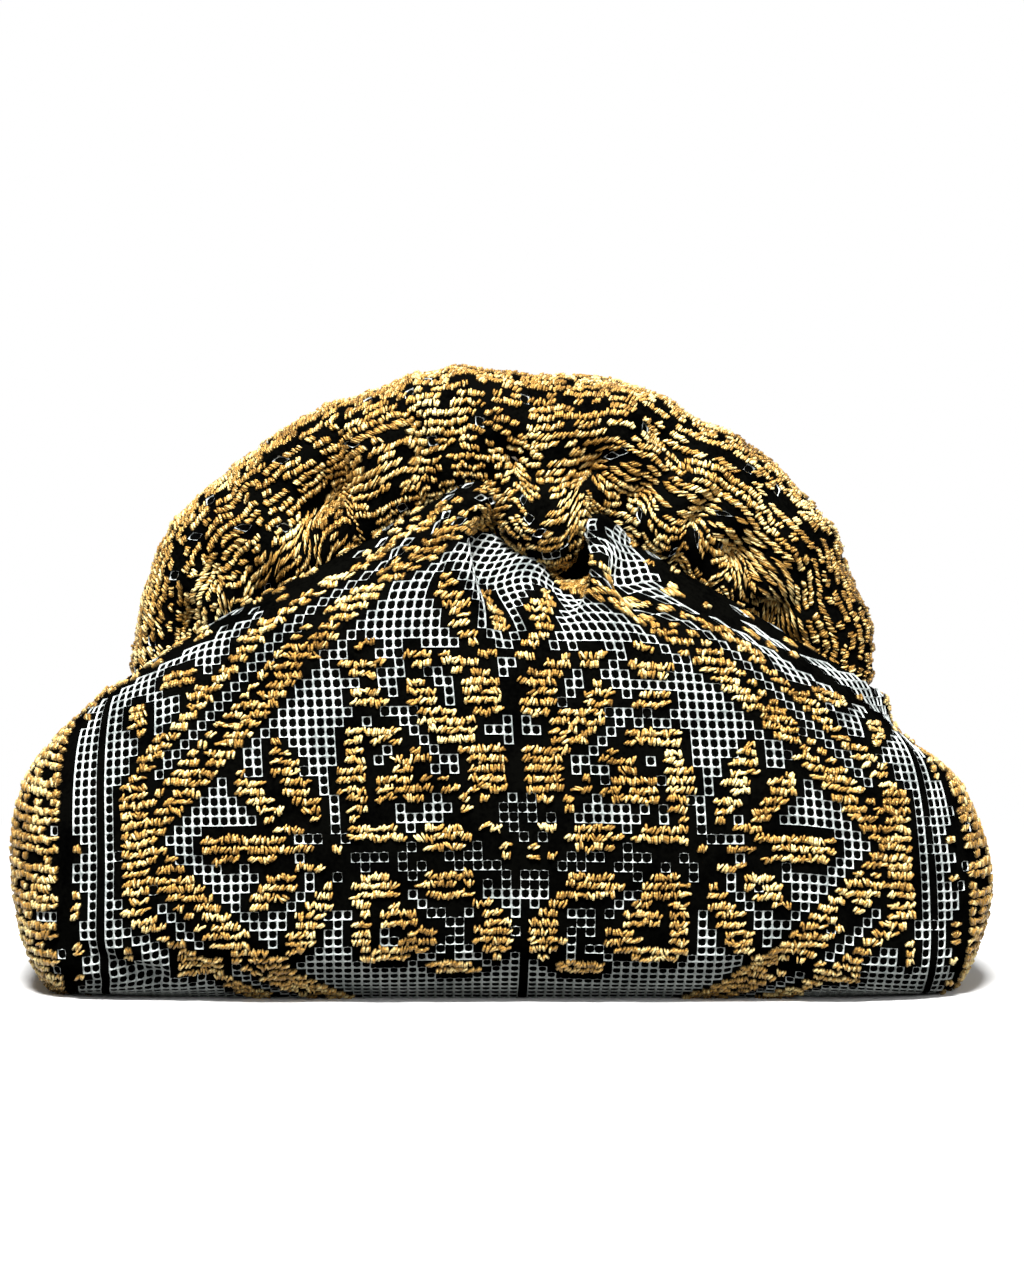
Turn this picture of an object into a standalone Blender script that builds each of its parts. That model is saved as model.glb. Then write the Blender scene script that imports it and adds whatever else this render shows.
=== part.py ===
# Clutch bag gathered on a hidden hinged frame, modelled at rest with its mouth closed.
# Metres, +Z up. The origin is under the middle of the base, the front is -Y, and +X is to the right seen from
# the front. Curves along the bag run from its left side to its right one.

import math

import bmesh
import bpy
import numpy as np

# Body of the bag, over the outside of the cloth
BASE_WIDTH = 0.236
BASE_DEPTH = 0.088
BELLY_WIDTH = 0.250
BELLY_DEPTH = 0.096
BELLY_HEIGHT = 0.031
BELLY_TILT = 0.007  # the bag sags to the right: its belly lies this much higher at the left, lower at the right
LEAN = 0.004  # the shoulders lie this much to the left
HIP_WIDTH = 0.240
HIP_DEPTH = 0.093
BROW_WIDTH = 0.208
BROW_DEPTH = 0.072
BROW_DROP = 0.0075  # how far the cloth's brow lies below the crease
HIP_PLACE = 0.55  # where the hip lies between the belly and the brow, as a share of the way up
BASE_POWER = 4.0  # powers of the superellipses that the body has, seen from above
BELLY_POWER = 3.2
HIP_POWER = 2.8
BROW_POWER = 3.0
BASE_EDGE = 0.004  # radius of the turn from front to underside
BASE_LIFT = 0.0002  # the turn's lowest ring lies this far above the underside
EDGE_LIFT = 0.007  # the turn is rounder in the middle, where its upper and lower rings rise by so much
TURN_LIFT = 0.0043
BASE_ROUND = 0.010  # and the cloth meets the base this much further in
UNDER_EDGE = 0.006  # how far the front and rear cloth reach in under the bag

# Crease, where the body's cloth is sewn to the covers of the frame
CREASE_WIDTH = 0.196
CREASE_DEPTH = 0.041
CREASE_POWER = 4.0
CREASE_END = 0.076  # its height at the side seams
CREASE_RISE = 0.0575
CREASE_ROUND = 0.004  # radius that rounds the tent that it makes
CREASE_TILT = 0.001  # the left end stands this much higher than the middle of both, the right one lower
PEAK = (0.0245, 0.0030, 0.0060)  # place along X, height, half width
NOTCH = (0.0093, -0.0160, 0.0105)

# Rolled covers over the frame's halves
ROLL_WIDTH = 0.190
ROLL_TOP = 0.157
ROLL_DEPTH = 0.027  # one half, in the middle
ROLL_END_DEPTH = 0.0145
ROLL_END_WIDTH = 0.018
MOUTH_GAP = 0.0004  # between the two covers
ROLL_POWER = 2.0  # of the arch that the roll's top line makes
SEAM_POWER = 1.8
SEAM_TUCK = 0.001  # how far the covers reach down behind the body's cloth at the crease
MOUTH_HEM = 0.12  # where the mouth face ends, as a share of the roll's height

# Hinged frame of two bent steel strips
HINGE_HEIGHT = 0.073
ROLL_START = 0.008  # the covers' ends above the hinge
STRIP_WIDTH = 0.006
STRIP_THICKNESS = 0.001
STRIP_SETBACK = 0.003  # from the mouth's plane
BOW_POWER = 2.1
EAR_THICKNESS = 0.0013
EAR_RADIUS = 0.0045
EAR_TOP = 0.006
EAR_INSET = 0.004  # from the roll's end to the outer ear
RIVET_RADIUS = 0.0016
RIVET_HEAD_RADIUS = 0.0028
RIVET_HEAD = 0.0014
WASHER_THICKNESS = 0.0006
WASHER_RADIUS = 0.0036
MAGNET_RADIUS = 0.005
MAGNET_THICKNESS = 0.002
MAGNET_SPACING = 0.044
MAGNET_PLACE = 0.44  # share of the roll's height

# Cloth, board and lining
CLOTH = 0.0014
LINING = 0.0008
BOARD = 0.002
LINING_PLAY = 0.0007  # the lining hangs this much inside the outer cloth
LINING_HIP_PLACE = 0.45
LINING_TUCK = 0.62  # how far forward the lining hangs under the roll, as a share of the roll's depth
LINING_TUCK_DROP = 0.007
LINING_TUCK_SPREAD = 1.03
LINING_SEAM_GAP = 0.0011  # between the front and rear lining at the side seams
HEM_DROP = 0.0022  # from the cover's hem to the lining's, measured down
POCKET_WIDTH = 0.096
POCKET_LOW = 0.016
POCKET_HIGH = 0.060
GAP = 0.0003  # between pieces that touch
SEAM_GAP = 0.0005  # between the front and rear pieces at the side seams

# Folds as they are seen from the front: x and z of both ends, half width, depth at the first end
COVER_FOLDS = (
    (-0.0426, 0.1292, -0.0538, 0.1118, 0.0062, 0.0058),
    (-0.0415, 0.1435, -0.0410, 0.1325, 0.0013, 0.0022),
    (-0.0220, 0.1455, -0.0205, 0.1258, 0.0014, 0.0030),
    (-0.0736, 0.1055, -0.0760, 0.1135, 0.0022, 0.0028),
    (-0.0810, 0.0885, -0.0805, 0.1035, 0.0030, 0.0036),
    (0.0060, 0.1295, 0.0040, 0.1415, 0.0060, 0.0034),
    (0.0200, 0.1325, 0.0250, 0.1415, 0.0048, 0.0046),
    (0.0300, 0.1225, 0.0450, 0.1345, 0.0030, 0.0024),
    (0.0480, 0.1195, 0.0590, 0.1315, 0.0020, 0.0036),
    (0.0590, 0.1105, 0.0690, 0.1145, 0.0046, 0.0034),
    (0.0620, 0.0955, 0.0820, 0.0985, 0.0022, 0.0030),
)
PANEL_FOLDS = (
    (-0.0015, 0.1172, 0.0026, 0.0908, 0.0044, 0.0062),
    (0.0170, 0.1119, 0.0146, 0.0980, 0.0040, 0.0048),
    (0.0297, 0.1064, 0.0400, 0.0944, 0.0034, 0.0026),
    (-0.0300, 0.1095, -0.0520, 0.0935, 0.0040, 0.0016),
    (-0.0734, 0.0080, -0.0938, 0.0200, 0.0042, 0.0022),
    (0.0600, 0.0070, 0.0860, 0.0190, 0.0040, 0.0016),
)
MOST_FOLD = 0.0065
PADDING_EASE = 0.006  # how much wider the wadding's hollows are than the folds over them
PADDING_PLAY = 0.0007
PADDING_HOLLOW = 1.1  # how much deeper the wadding's hollows are than the folds over them
REAR_GATHERS = 15
REAR_GATHER_DEPTH = 0.0016

# How finely the cloth is divided: points across, and steps from each control line to the next
FRONT_PANEL_STEPS = (42, (1, 1, 3, 3, 3, 3))
REAR_PANEL_STEPS = (26, (1, 1, 2, 2, 1, 2))
FRONT_COVER_STEPS = (46, (1, 1, 2, 1, 2, 3, 3, 2))
REAR_COVER_STEPS = (32, (1, 1, 1, 1, 2, 2, 2, 1))
LINING_STEPS = (20, (2, 2, 2, 1))
PADDING_STEPS = (22, (1, 1, 1, 1, 1, 2, 2, 1))
POCKET_STEPS = 9
STRIP_STEPS = 26
ROUND_STEPS = 20

ROLL_BASE = HINGE_HEIGHT + ROLL_START
SIDES = {"left": -1, "right": 1}


# Colours and materials


def material(name, colour, roughness, metallic=0.0):
    """A Principled material in the part's colour."""
    made = bpy.data.materials.get(name) or bpy.data.materials.new(name)
    made.use_nodes = True
    shader = made.node_tree.nodes["Principled BSDF"]
    shader.inputs["Base Color"].default_value = (*colour, 1.0)
    shader.inputs["Roughness"].default_value = roughness
    shader.inputs["Metallic"].default_value = metallic
    return made


def brocade():
    return material("gold_brocade", (0.42, 0.28, 0.10), 0.45, 0.4)


def net_weave():
    return material("net_weave", (0.20, 0.18, 0.13), 0.7)


def lining_cloth():
    return material("lining_satin", (0.02, 0.02, 0.022), 0.5)


def wadding():
    return material("wadding", (0.75, 0.73, 0.68), 0.95)


def spring_steel():
    return material("spring_steel", (0.55, 0.55, 0.56), 0.3, 1.0)


def plated_steel():
    return material("plated_steel", (0.66, 0.66, 0.68), 0.22, 1.0)


def grey_board():
    return material("grey_board", (0.32, 0.31, 0.29), 0.9)


# Curves and rings


def smoothstep(low, high, value):
    part = np.clip((value - low) / (high - low), 0.0, 1.0)
    return part * part * (3.0 - 2.0 * part)


def evenly(points, count):
    """Points spaced evenly along a finely divided line."""
    steps = np.linalg.norm(np.diff(points, axis=0), axis=1)
    along = np.concatenate([[0.0], np.cumsum(steps)])
    wanted = np.linspace(0.0, along[-1], count)
    return np.stack([np.interp(wanted, along, points[:, k]) for k in range(points.shape[1])], axis=1)


def half_ring(width, depth, power, count):
    """The front half of a superellipse seen from above, from the left side seam to the right one."""
    angle = np.linspace(math.pi, 0.0, 721)
    x = 0.5 * width * np.sign(np.cos(angle)) * np.abs(np.cos(angle)) ** (2.0 / power)
    y = -0.5 * depth * np.abs(np.sin(angle)) ** (2.0 / power)
    return evenly(np.stack([x, y], axis=1), count)


def at_height(ring, height):
    """A ring as points in space, at one height or at a height for each point."""
    return np.column_stack([ring, np.broadcast_to(height, len(ring))])


def crease_height(x, plain=False):
    """Height of the crease over x. The plain one has no notch between two peaks."""
    share = np.clip(np.hypot(x, CREASE_ROUND) / (0.5 * CREASE_WIDTH), 0.0, 1.0)
    height = CREASE_END + CREASE_RISE * (1.0 - share) - CREASE_TILT * x / (0.5 * CREASE_WIDTH)
    if plain:
        return height
    for place, rise, half_width in (PEAK, NOTCH):
        height = height + rise * np.exp(-(((x - place) / half_width) ** 4))
    return height


def loft(controls, steps):
    """A smooth surface through control lines, with so many steps from each line to the next."""
    columns = []
    for points in np.transpose(controls, (1, 0, 2)):
        along = np.concatenate([[0.0], np.cumsum(np.linalg.norm(np.diff(points, axis=0), axis=1))])
        slopes = np.gradient(points, along, axis=0)
        column = [points[:1]]
        for i, count in enumerate(steps):
            span = along[i + 1] - along[i]
            t = np.linspace(0.0, 1.0, count + 1)[1:, None]
            column.append(
                (2 * t**3 - 3 * t**2 + 1) * points[i]
                + (t**3 - 2 * t**2 + t) * span * slopes[i]
                + (3 * t**2 - 2 * t**3) * points[i + 1]
                + (t**3 - t**2) * span * slopes[i + 1]
            )
        columns.append(np.concatenate(column))
    return np.stack(columns, axis=1)


def outward(grid):
    """Unit normals of a grid that runs from left to right and from bottom to top."""
    across = np.gradient(grid, axis=1)
    along = np.gradient(grid, axis=0)
    normal = np.cross(across, along)
    return normal / np.maximum(np.linalg.norm(normal, axis=2, keepdims=True), 1e-12)


def fold_depth(grid, folds):
    """How far the folds press each point in. A fold fades from its first end to its second."""
    x, z = grid[..., 0], grid[..., 2]
    depth = np.zeros(x.shape)
    for x0, z0, x1, z1, half_width, deep in folds:
        length = math.hypot(x1 - x0, z1 - z0)
        along = ((x - x0) * (x1 - x0) + (z - z0) * (z1 - z0)) / length
        aside = ((x - x0) * (z1 - z0) - (z - z0) * (x1 - x0)) / length
        fade = np.where(
            along < 0.0,
            np.exp(-((along / half_width) ** 2)),
            1.0 - smoothstep(0.25 * length, 1.15 * length, along),
        )
        depth += deep * fade * np.exp(-((aside / half_width) ** 2))
    return np.minimum(depth, MOST_FOLD)


# Surfaces of the bag's front half, which the rear half mirrors


def leaning(ring, share):
    """A ring moved to the left by a share of the lean."""
    return ring - np.array([share * LEAN, 0.0])


def belly_height(x):
    return BELLY_HEIGHT - BELLY_TILT * x / (0.5 * BELLY_WIDTH)


def lifted(ring, height, lift):
    """A ring that rises from its height at the corners by a lift in the middle."""
    share = 1.0 - np.abs(2.0 * ring[:, 0] / BASE_WIDTH) ** 3
    return at_height(ring, height + lift * share)


def base_ring(inset, further, columns):
    """The base's front half inset all round, and further in along the front."""
    return half_ring(BASE_WIDTH - 2 * inset, BASE_DEPTH - 2 * (inset + further), BASE_POWER, columns)


def panel_rings(columns, plain):
    """Control lines of the body's outer cloth, from under the base up to the crease."""
    crease = half_ring(CREASE_WIDTH, CREASE_DEPTH, CREASE_POWER, columns)
    crease_z = crease_height(crease[:, 0], plain)
    brow_z = crease_z - BROW_DROP
    hip_z = BELLY_HEIGHT + HIP_PLACE * (brow_z - BELLY_HEIGHT)
    hip_z = np.maximum(hip_z, BELLY_HEIGHT + BELLY_TILT)
    under = base_ring(UNDER_EDGE, BASE_ROUND, columns)
    turn = base_ring(0.5 * BASE_EDGE, 0.4 * BASE_ROUND, columns)
    edge = half_ring(BASE_WIDTH, BASE_DEPTH, BASE_POWER, columns)
    belly = half_ring(BELLY_WIDTH, BELLY_DEPTH, BELLY_POWER, columns)
    hip = half_ring(HIP_WIDTH, HIP_DEPTH, HIP_POWER, columns)
    brow = half_ring(BROW_WIDTH, BROW_DEPTH, BROW_POWER, columns)
    return [
        at_height(under, 0.0),
        lifted(turn, BASE_LIFT, TURN_LIFT),
        lifted(edge, BASE_EDGE, EDGE_LIFT),
        at_height(belly, belly_height(belly[:, 0])),
        at_height(leaning(hip, 0.5), hip_z),
        at_height(leaning(brow, 1.0), brow_z),
        at_height(crease, crease_z),
    ]


def panel_surface(grid, plain):
    columns, rows = grid
    surface = loft(np.array(panel_rings(columns, plain)), rows)
    surface[..., 1] -= 0.5 * SEAM_GAP
    return surface


def front_panel_surface():
    surface = panel_surface(FRONT_PANEL_STEPS, plain=False)
    inward = fold_depth(surface, PANEL_FOLDS) * smoothstep(0.0, 2 * BASE_EDGE, surface[..., 2])
    return surface - outward(surface) * inward[..., None]


def gathers(surface, low, high):
    """Even shallow gathers that fade from one height to another."""
    across = surface[..., 0] / (0.5 * CREASE_WIDTH)
    wave = 0.5 - 0.5 * np.cos(2 * math.pi * REAR_GATHERS * across)
    return REAR_GATHER_DEPTH * wave * smoothstep(low, high, surface[..., 2])


def rear_panel_surface():
    surface = panel_surface(REAR_PANEL_STEPS, plain=True)
    inward = gathers(surface, 0.6 * CREASE_END, CREASE_END + CREASE_RISE)
    return surface - outward(surface) * inward[..., None]


def arch(width, rise, power, columns):
    """An arch in the XZ plane, over the covers' ends."""
    angle = np.linspace(math.pi, 0.0, 721)
    x = 0.5 * width * np.sign(np.cos(angle)) * np.abs(np.cos(angle)) ** (2.0 / power)
    z = ROLL_BASE + rise * np.abs(np.sin(angle)) ** (2.0 / power)
    return evenly(np.stack([x, z], axis=1), columns)


def cover_frame(columns, plain):
    """Seam line and top line of a roll in the XZ plane, and its depth along the way."""
    top = arch(ROLL_WIDTH, ROLL_TOP - ROLL_BASE, ROLL_POWER, columns)
    rise = CREASE_END + CREASE_RISE - ROLL_BASE
    seam = arch(ROLL_WIDTH - 2 * ROLL_END_WIDTH, rise, SEAM_POWER, columns)
    seam[:, 1] = np.minimum(crease_height(seam[:, 0], plain) - SEAM_TUCK, seam[:, 1])
    across = np.abs(seam[:, 0]) / (0.5 * ROLL_WIDTH - ROLL_END_WIDTH)
    depth = ROLL_END_DEPTH + (ROLL_DEPTH - ROLL_END_DEPTH) * (1.0 - across**3.5)
    return seam, top, depth


def cover_surface(grid, plain):
    """A roll's cloth, from the hem inside the mouth over the top and down the front to the seam."""
    columns, rows = grid
    seam, top, depth = cover_frame(columns, plain)
    stations = (
        (MOUTH_HEM, 0.0),
        (0.45, 0.0),
        (0.82, 0.0),
        (0.965, 0.13),
        (1.0, 0.42),
        (0.90, 0.78),
        (0.62, 1.0),
        (0.24, 1.0),
        (0.0, 0.66),
    )
    lines = []
    for share, forward in stations:
        flat = seam + share * (top - seam)
        y = -0.5 * MOUTH_GAP - forward * depth
        lines.append(np.column_stack([flat[:, 0], y, flat[:, 1]]))
    surface = loft(np.array(lines), rows)
    surface[..., 1] = np.minimum(surface[..., 1], -0.5 * MOUTH_GAP)
    return surface[::-1]


def facing_front(surface):
    """1 on the front of a roll, 0 on its mouth face."""
    return smoothstep(0.25 * ROLL_END_DEPTH, 0.55 * ROLL_DEPTH, -surface[..., 1])


def front_cover_surface(grid=FRONT_COVER_STEPS):
    surface = cover_surface(grid, plain=False)
    inward = fold_depth(surface, COVER_FOLDS) * facing_front(surface)
    return surface - outward(surface) * inward[..., None]


def rear_cover_surface(grid=REAR_COVER_STEPS):
    surface = cover_surface(grid, plain=True)
    inward = gathers(surface, ROLL_TOP, CREASE_END) * facing_front(surface)
    return surface - outward(surface) * inward[..., None]


def lining_surface(plain):
    """The lining's inner face towards the outer cloth, from the board up to the hem in the mouth."""
    columns, rows = LINING_STEPS
    inset = 2 * (CLOTH + GAP + LINING_PLAY)
    rings = panel_rings(columns, plain=True)
    foot = base_ring(inset, 0.5 * BASE_ROUND, columns)
    belly = half_ring(BELLY_WIDTH - inset, BELLY_DEPTH - inset, BELLY_POWER, columns)
    hip = half_ring(HIP_WIDTH - 3 * inset, HIP_DEPTH - 3 * inset, HIP_POWER, columns)
    seam, top, _ = cover_frame(columns, plain)
    hem = seam + MOUTH_HEM * (top - seam)
    hem_y = -0.5 * (MOUTH_GAP + CLOTH + LINING)
    hip_z = BELLY_HEIGHT + LINING_HIP_PLACE * (rings[-2][:, 2] - BELLY_HEIGHT)
    hip_z = np.maximum(hip_z, BELLY_HEIGHT + BELLY_TILT)
    across = np.abs(hem[:, 0]) / hem[:, 0].max()
    tuck_y = -ROLL_DEPTH * LINING_TUCK * (1.0 - across**4)
    tuck_z = hem[:, 1] - ROLL_START - LINING_TUCK_DROP
    controls = [
        at_height(foot, 2 * CLOTH + BOARD + 3 * GAP + LINING),
        at_height(belly, belly_height(belly[:, 0])),
        at_height(leaning(hip, 0.5), hip_z),
        np.column_stack([hem[:, 0] * LINING_TUCK_SPREAD, tuck_y, tuck_z]),
        np.column_stack([hem[:, 0], np.full(columns, hem_y + 0.5 * LINING_SEAM_GAP), hem[:, 1] - GAP - HEM_DROP]),
    ]
    surface = loft(np.array(controls), rows)
    surface[..., 1] -= 0.5 * LINING_SEAM_GAP
    return surface


# Meshes and objects


def add_object(name, mesh, look, smooth=True):
    obj = bpy.data.objects.new(name, mesh)
    bpy.context.scene.collection.objects.link(obj)
    mesh.materials.append(look)
    if smooth:
        mesh.shade_smooth()
        mesh.set_sharp_from_angle(angle=math.radians(35))
    return obj


def sheet_mesh(name, surface):
    """A grid of points as an open sheet of quads."""
    rows, columns = surface.shape[:2]
    faces = []
    for i in range(rows - 1):
        for j in range(columns - 1):
            k = i * columns + j
            faces.append((k, k + 1, k + columns + 1, k + columns))
    mesh = bpy.data.meshes.new(name)
    mesh.from_pydata(surface.reshape(-1, 3).tolist(), [], faces)
    return mesh


def cloth_piece(name, surface, thickness, look, mirrored=False):
    """Cloth of even thickness inside a surface. The rear pieces are the front ones turned round in Y."""
    if mirrored:
        surface = surface[:, ::-1] * np.array([1.0, -1.0, 1.0])
    obj = add_object(name, sheet_mesh(name, surface), look)
    thicken = obj.modifiers.new("cloth", "SOLIDIFY")
    thicken.thickness = thickness
    thicken.offset = -1.0
    return obj


def plate(name, outline, low, high, look):
    """A flat outline in XY, extruded between two heights."""
    bm = bmesh.new()
    face = bm.faces.new([bm.verts.new((x, y, low)) for x, y in outline])
    raised = bmesh.ops.extrude_face_region(bm, geom=[face])
    lifted = [v for v in raised["geom"] if isinstance(v, bmesh.types.BMVert)]
    bmesh.ops.translate(bm, vec=(0.0, 0.0, high - low), verts=lifted)
    bmesh.ops.recalc_face_normals(bm, faces=bm.faces)
    mesh = bpy.data.meshes.new(name)
    bm.to_mesh(mesh)
    bm.free()
    return add_object(name, mesh, look)


def base_outline(inset, further):
    """The base's outline, divided as the cloth round it."""
    front = base_ring(inset, further, FRONT_PANEL_STEPS[0])
    rear = base_ring(inset, further, REAR_PANEL_STEPS[0])
    return np.concatenate([front, rear[1:-1][::-1] * np.array([1.0, -1.0])])


def turned(name, profile, side, look, closed=False):
    """A profile of (x, radius) points turned about the hinge's axis."""
    bm = bmesh.new()
    points = [bm.verts.new((side * x, 0.0, HINGE_HEIGHT + radius)) for x, radius in profile]
    edges = [bm.edges.new(pair) for pair in zip(points, points[1:])]
    if closed:
        edges.append(bm.edges.new((points[-1], points[0])))
    bmesh.ops.spin(
        bm,
        geom=points + edges,
        cent=(0.0, 0.0, HINGE_HEIGHT),
        axis=(1.0, 0.0, 0.0),
        angle=2 * math.pi,
        steps=ROUND_STEPS,
        use_merge=True,
    )
    bmesh.ops.remove_doubles(bm, verts=bm.verts, dist=1e-6)
    bmesh.ops.recalc_face_normals(bm, faces=bm.faces)
    mesh = bpy.data.meshes.new(name)
    bm.to_mesh(mesh)
    bm.free()
    return add_object(name, mesh, look)


def add_boolean(obj, other, operation):
    other.hide_render = True
    other.display_type = "WIRE"
    cut = obj.modifiers.new(operation.lower(), "BOOLEAN")
    cut.operation = operation
    cut.object = other


# The bag's body


def add_body():
    cloth_piece("front_panel", front_panel_surface(), CLOTH, net_weave())
    cloth_piece("rear_panel", rear_panel_surface(), CLOTH, net_weave(), mirrored=True)
    plate("base_panel", base_outline(UNDER_EDGE + 2 * GAP, BASE_ROUND), 0.0, CLOTH, brocade())
    inset = UNDER_EDGE + CLOTH + 2 * GAP
    board_low = CLOTH + GAP
    board = base_outline(inset, BASE_ROUND)
    plate("base_board", board, board_low, board_low + BOARD, grey_board())
    lining_low = board_low + BOARD + GAP
    lining = base_outline(inset, 0.5 * BASE_ROUND)
    plate("base_lining", lining, lining_low, lining_low + LINING, lining_cloth())


def add_lining():
    cloth_piece("front_lining", lining_surface(plain=False), LINING, lining_cloth())
    rear = lining_surface(plain=True)
    cloth_piece("rear_lining", rear, LINING, lining_cloth(), mirrored=True)


def add_pocket():
    """A sheet of lining that follows the rear lining, open along its top edge."""
    lining = lining_surface(plain=True)
    inside = lining - outward(lining) * (LINING + 2 * GAP)
    across = np.linspace(-0.5 * POCKET_WIDTH, 0.5 * POCKET_WIDTH, POCKET_STEPS)
    rows = []
    for height in np.linspace(POCKET_LOW, POCKET_HIGH, POCKET_STEPS):
        level = [
            [np.interp(height, column[:, 2], column[:, 0]), np.interp(height, column[:, 2], column[:, 1])]
            for column in np.transpose(inside, (1, 0, 2))
        ]
        x, y = np.array(level).T
        rows.append(np.column_stack([across, np.interp(across, x, y), np.full(POCKET_STEPS, height)]))
    cloth_piece("slip_pocket", np.array(rows), LINING, lining_cloth(), mirrored=True)


# The hinged frame


def ear_place(front):
    """Distance of an ear's middle from the bag's middle. The rear bow's ears lie inside the front bow's."""
    outer = 0.5 * ROLL_WIDTH - EAR_INSET
    return outer if front else outer - EAR_THICKNESS - WASHER_THICKNESS - 2 * GAP


def bow_path(front):
    """Middle line of a bent strip in the XZ plane, hinge to hinge."""
    place = ear_place(front)
    rise = 0.5 * (ROLL_TOP + CREASE_END + CREASE_RISE) - ROLL_BASE
    line = arch(2 * place, rise, BOW_POWER, STRIP_STEPS)
    foot = HINGE_HEIGHT - 0.5 * EAR_RADIUS
    return np.concatenate([[[-place, foot]], line, [[place, foot]]])


def strip(name, path, width, thickness, look):
    """A strip that follows the path, flat towards the hinge's axis."""
    near = 0.5 * (width - STRIP_WIDTH) - STRIP_SETBACK
    rows = [np.column_stack([path[:, 0], np.full(len(path), y), path[:, 1]]) for y in (near, near - width)]
    obj = add_object(name, sheet_mesh(name, np.array(rows)), look)
    thicken = obj.modifiers.new("gauge", "SOLIDIFY")
    thicken.thickness = thickness
    thicken.offset = 0.0
    thicken.use_even_offset = True
    return obj


def ear_outline():
    """Eye and arm of an ear in the YZ plane, about the hinge's axis."""
    angle = np.linspace(-0.5 * math.pi, 0.5 * math.pi, 11)
    eye = [(EAR_RADIUS * math.cos(a), EAR_RADIUS * math.sin(a)) for a in angle]
    far = -STRIP_SETBACK - STRIP_WIDTH
    return eye + [(-STRIP_SETBACK, EAR_TOP), (far, EAR_TOP), (far, 0.0)]


def ear(name, place, look):
    bm = bmesh.new()
    low = place - 0.5 * EAR_THICKNESS
    face = bm.faces.new([bm.verts.new((low, y, HINGE_HEIGHT + z)) for y, z in ear_outline()])
    raised = bmesh.ops.extrude_face_region(bm, geom=[face])
    moved = [v for v in raised["geom"] if isinstance(v, bmesh.types.BMVert)]
    bmesh.ops.translate(bm, vec=(EAR_THICKNESS, 0.0, 0.0), verts=moved)
    bmesh.ops.recalc_face_normals(bm, faces=bm.faces)
    mesh = bpy.data.meshes.new(name)
    bm.to_mesh(mesh)
    bm.free()
    return add_object(name, mesh, look, smooth=False)


def rod(name, radius, centre, axis, length, look):
    """A straight round cutter."""
    bm = bmesh.new()
    bmesh.ops.create_cone(
        bm, cap_ends=True, segments=ROUND_STEPS, radius1=radius, radius2=radius, depth=length
    )
    mesh = bpy.data.meshes.new(name)
    bm.to_mesh(mesh)
    bm.free()
    obj = add_object(name, mesh, look)
    obj.location = centre
    obj.rotation_euler = (0.0, 0.5 * math.pi, 0.0) if axis == "X" else (0.5 * math.pi, 0.0, 0.0)
    return obj


def add_bow(half, front):
    """A bent strip with an ear at each end, drilled for the rivets."""
    name = f"{half}_bow"
    steel = spring_steel()
    bow = strip(name, bow_path(front), STRIP_WIDTH, STRIP_THICKNESS, steel)
    for side, sign in SIDES.items():
        tab = ear(f"{name}_{side}_ear", sign * ear_place(front), steel)
        add_boolean(bow, tab, "UNION")
        hole = rod(
            f"{name}_{side}_hole",
            RIVET_RADIUS + GAP,
            (sign * ear_place(front), 0.0, HINGE_HEIGHT),
            "X",
            4 * EAR_THICKNESS,
            steel,
        )
        add_boolean(bow, hole, "DIFFERENCE")
    return bow


def roll_point(x, share):
    """A point in the XZ plane at a share of the roll's height over x, near the bag's middle."""
    seam, top, _ = cover_frame(241, plain=True)
    line = seam + share * (top - seam)
    return float(np.interp(x, line[:, 0], line[:, 1]))


def magnet_places():
    height = roll_point(0.5 * MAGNET_SPACING, MAGNET_PLACE)
    return {side: (sign * 0.5 * MAGNET_SPACING, height) for side, sign in SIDES.items()}


def padding_surface(front):
    """The outside of the wadding, just inside the cover and clear of its folds."""
    surface = cover_surface(PADDING_STEPS, plain=not front)
    if front:
        wider = [(*ends, half_width + PADDING_EASE, deep) for *ends, half_width, deep in COVER_FOLDS]
        folds = PADDING_HOLLOW * fold_depth(surface, wider)
    else:
        folds = REAR_GATHER_DEPTH * smoothstep(ROLL_TOP, CREASE_END, surface[..., 2])
    inward = CLOTH + GAP + PADDING_PLAY + folds * facing_front(surface)
    return surface - outward(surface) * inward[..., None]


def tube_mesh(name, surface):
    """A grid closed round across its rows, with flat ends."""
    rows, columns = surface.shape[:2]
    bm = bmesh.new()
    verts = [[bm.verts.new(surface[i, j]) for i in range(rows)] for j in range(columns)]
    for first, second in zip(verts, verts[1:]):
        for i in range(rows):
            n = (i + 1) % rows
            bm.faces.new((first[i], second[i], second[n], first[n]))
    bm.faces.new(verts[0])
    bm.faces.new(verts[-1])
    bmesh.ops.triangulate(bm, faces=[f for f in bm.faces if len(f.verts) > 4])
    bmesh.ops.recalc_face_normals(bm, faces=bm.faces)
    mesh = bpy.data.meshes.new(name)
    bm.to_mesh(mesh)
    bm.free()
    return mesh


def add_padding(half, front):
    """A sleeve of wadding round the bow, with a recess for each magnet in its mouth face."""
    name = f"{half}_padding"
    surface = padding_surface(front)
    look = wadding()
    padding = add_object(name, tube_mesh(name, surface), look)
    channel = strip(
        f"{name}_channel", bow_path(front), STRIP_WIDTH + 2 * GAP, STRIP_THICKNESS + 2 * GAP, look
    )
    add_boolean(padding, channel, "DIFFERENCE")
    deep = MAGNET_THICKNESS + CLOTH + 2 * GAP + 0.5 * MOUTH_GAP
    for side, (x, z) in magnet_places().items():
        recess = rod(
            f"{name}_{side}_recess", MAGNET_RADIUS + GAP, (x, 0.0, z), "Y", 2 * (deep + GAP), look
        )
        add_boolean(padding, recess, "DIFFERENCE")
    return padding


def add_magnets(half):
    back = 0.5 * MOUTH_GAP + CLOTH + GAP
    for side, (x, z) in magnet_places().items():
        rod(
            f"{half}_{side}_magnet",
            MAGNET_RADIUS,
            (x, -back - 0.5 * MAGNET_THICKNESS, z),
            "Y",
            MAGNET_THICKNESS,
            plated_steel(),
        )


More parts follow.
